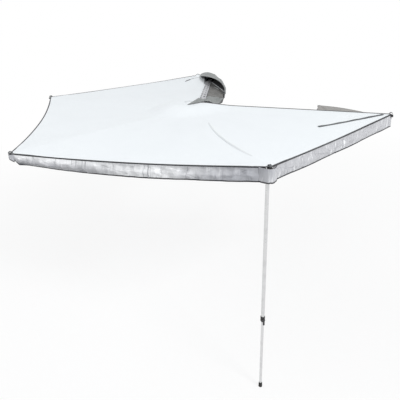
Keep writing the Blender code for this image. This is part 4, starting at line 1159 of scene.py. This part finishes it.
lid = cloth_sheet("bag_lid_cloth", (130, 56), lid_cloth_point, bag_cloth, LID_THICK, LID_FLAT,
                  "grey_bag_cloth", "base")
two_faced(lid, lining)
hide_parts("bag_lid")
rim = cloth_sheet("bag_lid_rim", (130, 3), lambda u, v: lid_cloth_point(u, mix(0.955, 1.0, v)),
                  lid_binding, EDGE_THICK, (LID_FLAT[0], 0.016), "grey_webbing", "base")

# Across the tray: where its turn-up starts and ends, how far in the turn starts, its radius
TURN_START, TURN_END, TURN_INSET, TURN_RADIUS = 0.7, 0.82, 0.020, 0.014


def tray_point(u, v):
    """The bag's floor, its right side turned up inside the lid's foot."""
    y = mix(BAG_REAR, LID_FRONT, u)
    right = bag_right(y)
    foot = right - TURN_INSET
    if v < TURN_START:
        ripple = 0.0006 * math.sin(y * 19.0 + v * 11.0)
        return Vector((mix(BAG_LEFT, foot, v / TURN_START), y, BAG_FLOOR_Z + ripple))
    if v < TURN_END:
        angle = math.radians(90.0) * (v - TURN_START) / (TURN_END - TURN_START)
        return Vector((foot + TURN_RADIUS * math.sin(angle), y,
                       BAG_FLOOR_Z + TURN_RADIUS * (1 - math.cos(angle))))
    tall = 0.005 + 0.027 * smooth_rise(y, 0.07, 0.24)
    height = tall * (v - TURN_END) / (1.0 - TURN_END)
    lean = (right - LID_LEFT) / 2 * (1 - math.sqrt(1 - (height / lid_rise(y)) ** 2))
    return Vector((foot + TURN_RADIUS - lean, y, BAG_FLOOR_Z + TURN_RADIUS + height))


tray = cloth_sheet("bag_tray", (120, 34), tray_point, lining, TRAY_THICK, (TRAY_FLAT[0], 0.26),
                   "black_lining", "base")
tray_edge = cloth_sheet("bag_tray_binding", (60, 3),
                        lambda u, v: (tray_point(mix(0.0, 0.36, u), mix(0.90, 1.004, v))
                                      - Vector((0.0010, 0, 0))),
                        lid_binding, TRAY_EDGE_THICK, (0.46, 0.010), "grey_webbing", "base")
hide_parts("bag_base")


# The inner panel's left edge, and how far ahead its seam runs at its left and right ends
APRON_LEFT, APRON_SEAM_Y = -0.082, (0.960, 0.360)
PULL_START, PULL_END = Vector((-0.020, 0.590)), Vector((0.036, 0.440))
RING_LOOP_X, RING_LOOP_Y = 0.088, (0.262, 0.312)


def apron_point(u, v):
    """The grey panel inside the bag's mouth, u across and v ahead to its curved seam."""
    seam_y = mix(*APRON_SEAM_Y, u) + 0.050 * math.sin(math.pi * u)
    y = mix(BAG_REAR + 0.004, seam_y, v)
    crease = 0.0010 * math.sin(u * 9.0 + v * 5.0) + 0.0012
    crease += abs(crumple(v * 1.3, u * 0.36, 8.0, 0.0062)) * math.sin(math.pi * u)
    right = bag_right(y) - 0.022
    return Vector((mix(APRON_LEFT, right, u), y, BAG_FLOOR_Z + 0.0026 + crease))


apron = cloth_sheet("bag_apron_cloth", (44, 90), apron_point, apron_cloth, APRON_THICK, APRON_FLAT,
                    "grey_bag_cloth", "base")
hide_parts("bag_apron")
zip_tape = cloth_sheet("bag_apron_zip", (60, 3),
                       lambda u, v: apron_point(u, mix(0.985, 1.0, v)) + Vector((0, 0, 0.0046)),
                       seam_tape, ZIP_THICK, (0.52, 0.012), "white_canvas", "base")


def zip_pull_point(u, v):
    """A pale pull strap that lies on the apron."""
    spot = PULL_START.lerp(PULL_END, u)
    spot += Vector((0.0070, 0.0026)) * (2 * v - 1)
    return Vector((*spot, BAG_FLOOR_Z + 0.0120 + 0.0024 * math.sin(math.pi * u)))


zip_pull = cloth_sheet("bag_zip_pull", (20, 4), zip_pull_point, lid_binding, TAPE_THICK,
                       (0.16, 0.015), "grey_webbing", "base")


def ring_loop_point(u, v):
    """The black tab that holds the ring, sewn to the bag's floor."""
    hump = 0.0060 * math.sin(math.pi * min(u / 0.35, 1.0)) if u < 0.35 else 0.0
    return Vector((RING_LOOP_X + RING_LOOP_FLAT[1] * (v - 0.5), mix(*RING_LOOP_Y, u),
                   BAG_FLOOR_Z + 0.0085 + hump))


ring_loop = cloth_sheet("bag_ring_loop", (20, 4), ring_loop_point, webbing, WEB_THICK,
                        RING_LOOP_FLAT, "grey_webbing", "base")


def front_point(u, v):
    """The bag's closed front end: a low dome of cloth between the lid's last arch and floor."""
    middle = (bag_right(LID_FRONT) + LID_LEFT) / 2
    half = (bag_right(LID_FRONT) - LID_LEFT) / 2
    angle = mix(-0.15, math.pi + 0.15, u)
    puff = 0.0028 * math.cos(v * math.pi / 2)
    return Vector((middle + half * math.cos(angle) * v, LID_FRONT + 0.0006 + puff,
                   LID_FOOT_Z + LID_RISE_FRONT * math.sin(angle) * v - 0.0120 * (1 - v)))


front = cloth_sheet("bag_front_cloth", (40, 14), front_point, bag_cloth, BAG_THICK, (0.25, 0.07),
                    "grey_bag_cloth", "base")
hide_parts("bag_front_panel")
for piece in (lid, rim, front):
    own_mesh(piece)


# Floor, backdrop and light

def seen_directly(tree):
    """A share of 1 where the camera, a gloss or a clear part looks."""
    path = tree.nodes.new("ShaderNodeLightPath")
    seen = tree.nodes.new("ShaderNodeMath")
    seen.operation = "MAXIMUM"
    tree.links.new(path.outputs["Is Camera Ray"], seen.inputs[0])
    glossy = tree.nodes.new("ShaderNodeMath")
    glossy.operation = "MAXIMUM"
    tree.links.new(path.outputs["Is Glossy Ray"], glossy.inputs[0])
    tree.links.new(path.outputs["Is Transmission Ray"], glossy.inputs[1])
    tree.links.new(glossy.outputs[0], seen.inputs[1])
    return seen.outputs[0]


# Each lamp: name, place, aim, size in metres and power in watts
LAMPS = (("key", (8.2, -9.4, 8.6), (0.0, -0.6, 0.0), 3.6, 1580.0),
         ("fill", (-6.5, -1.0, 7.0), (0.0, -0.5, 0.0), 5.0, 300.0))
SKY_COLOUR, SKY_STRENGTH = (0.95, 0.97, 1.0, 1.0), 0.38
WHITE = (1.0, 1.0, 1.0, 1.0)


def light_the_scene():
    """A soft pale sky that looks white behind the awning, a key lamp and a fill lamp."""
    world = bpy.data.worlds.new("studio")
    bpy.context.scene.world = world
    world.use_nodes = True
    tree = world.node_tree
    sky = tree.nodes["Background"]
    sky.inputs["Color"].default_value = SKY_COLOUR
    sky.inputs["Strength"].default_value = SKY_STRENGTH
    plain = tree.nodes.new("ShaderNodeBackground")
    plain.inputs["Strength"].default_value = 1.0
    plain.inputs["Color"].default_value = WHITE
    choose = tree.nodes.new("ShaderNodeMixShader")
    tree.links.new(seen_directly(tree), choose.inputs[0])
    tree.links.new(sky.outputs[0], choose.inputs[1])
    tree.links.new(plain.outputs[0], choose.inputs[2])
    tree.links.new(choose.outputs[0], tree.nodes["World Output"].inputs["Surface"])
    for name, place, aim, size, power in LAMPS:
        lamp = bpy.data.lights.new(name, "AREA")
        lamp.size = size
        lamp.energy = power
        holder = bpy.data.objects.new(name, lamp)
        bpy.context.scene.collection.objects.link(holder)
        holder.location = place
        turn = (Vector(aim) - Vector(place)).to_track_quat("-Z", "Y")
        holder.rotation_euler = turn.to_euler()


light_the_scene()


FLOOR_HALF, FLOOR_TONE, FLOOR_BELOW_FOOT = 30.0, (0.86, 0.86, 0.86), 0.0005
# The floor turns white from and to these distances, from and to these shares
FLOOR_FADE = (2.6, 6.5, 0.84, 1.0)


def add_floor():
    """A wide pale floor under the pole's foot that keeps the awning's shadow."""
    bm = bmesh.new()
    bmesh.ops.create_grid(bm, x_segments=1, y_segments=1, size=FLOOR_HALF)
    bmesh.ops.translate(bm, verts=bm.verts, vec=(0.0, 0.0, GROUND_Z - FLOOR_BELOW_FOOT))
    mesh = bpy.data.meshes.new("floor")
    bm.to_mesh(mesh)
    bm.free()
    floor = bpy.data.objects.new("floor", mesh)
    bpy.context.scene.collection.objects.link(floor)
    look = Finish("pale_floor", FLOOR_TONE, 0.9)
    tree = look.tree
    glow = look.node("ShaderNodeEmission", {"Strength": 1.0})
    glow.inputs["Color"].default_value = WHITE
    away = look.node("ShaderNodeVectorMath", {0: look.place}, operation="LENGTH").outputs["Value"]
    share = look.math("MULTIPLY", seen_directly(tree), look.span(away, *FLOOR_FADE))
    choose = look.node("ShaderNodeMixShader", {0: share})
    tree.links.new(look.shader.outputs[0], choose.inputs[1])
    tree.links.new(glow.outputs[0], choose.inputs[2])
    tree.links.new(choose.outputs[0], tree.nodes["Material Output"].inputs["Surface"])
    mesh.materials.append(look.material)


add_floor()

bpy.context.scene.view_settings.view_transform = "Standard"
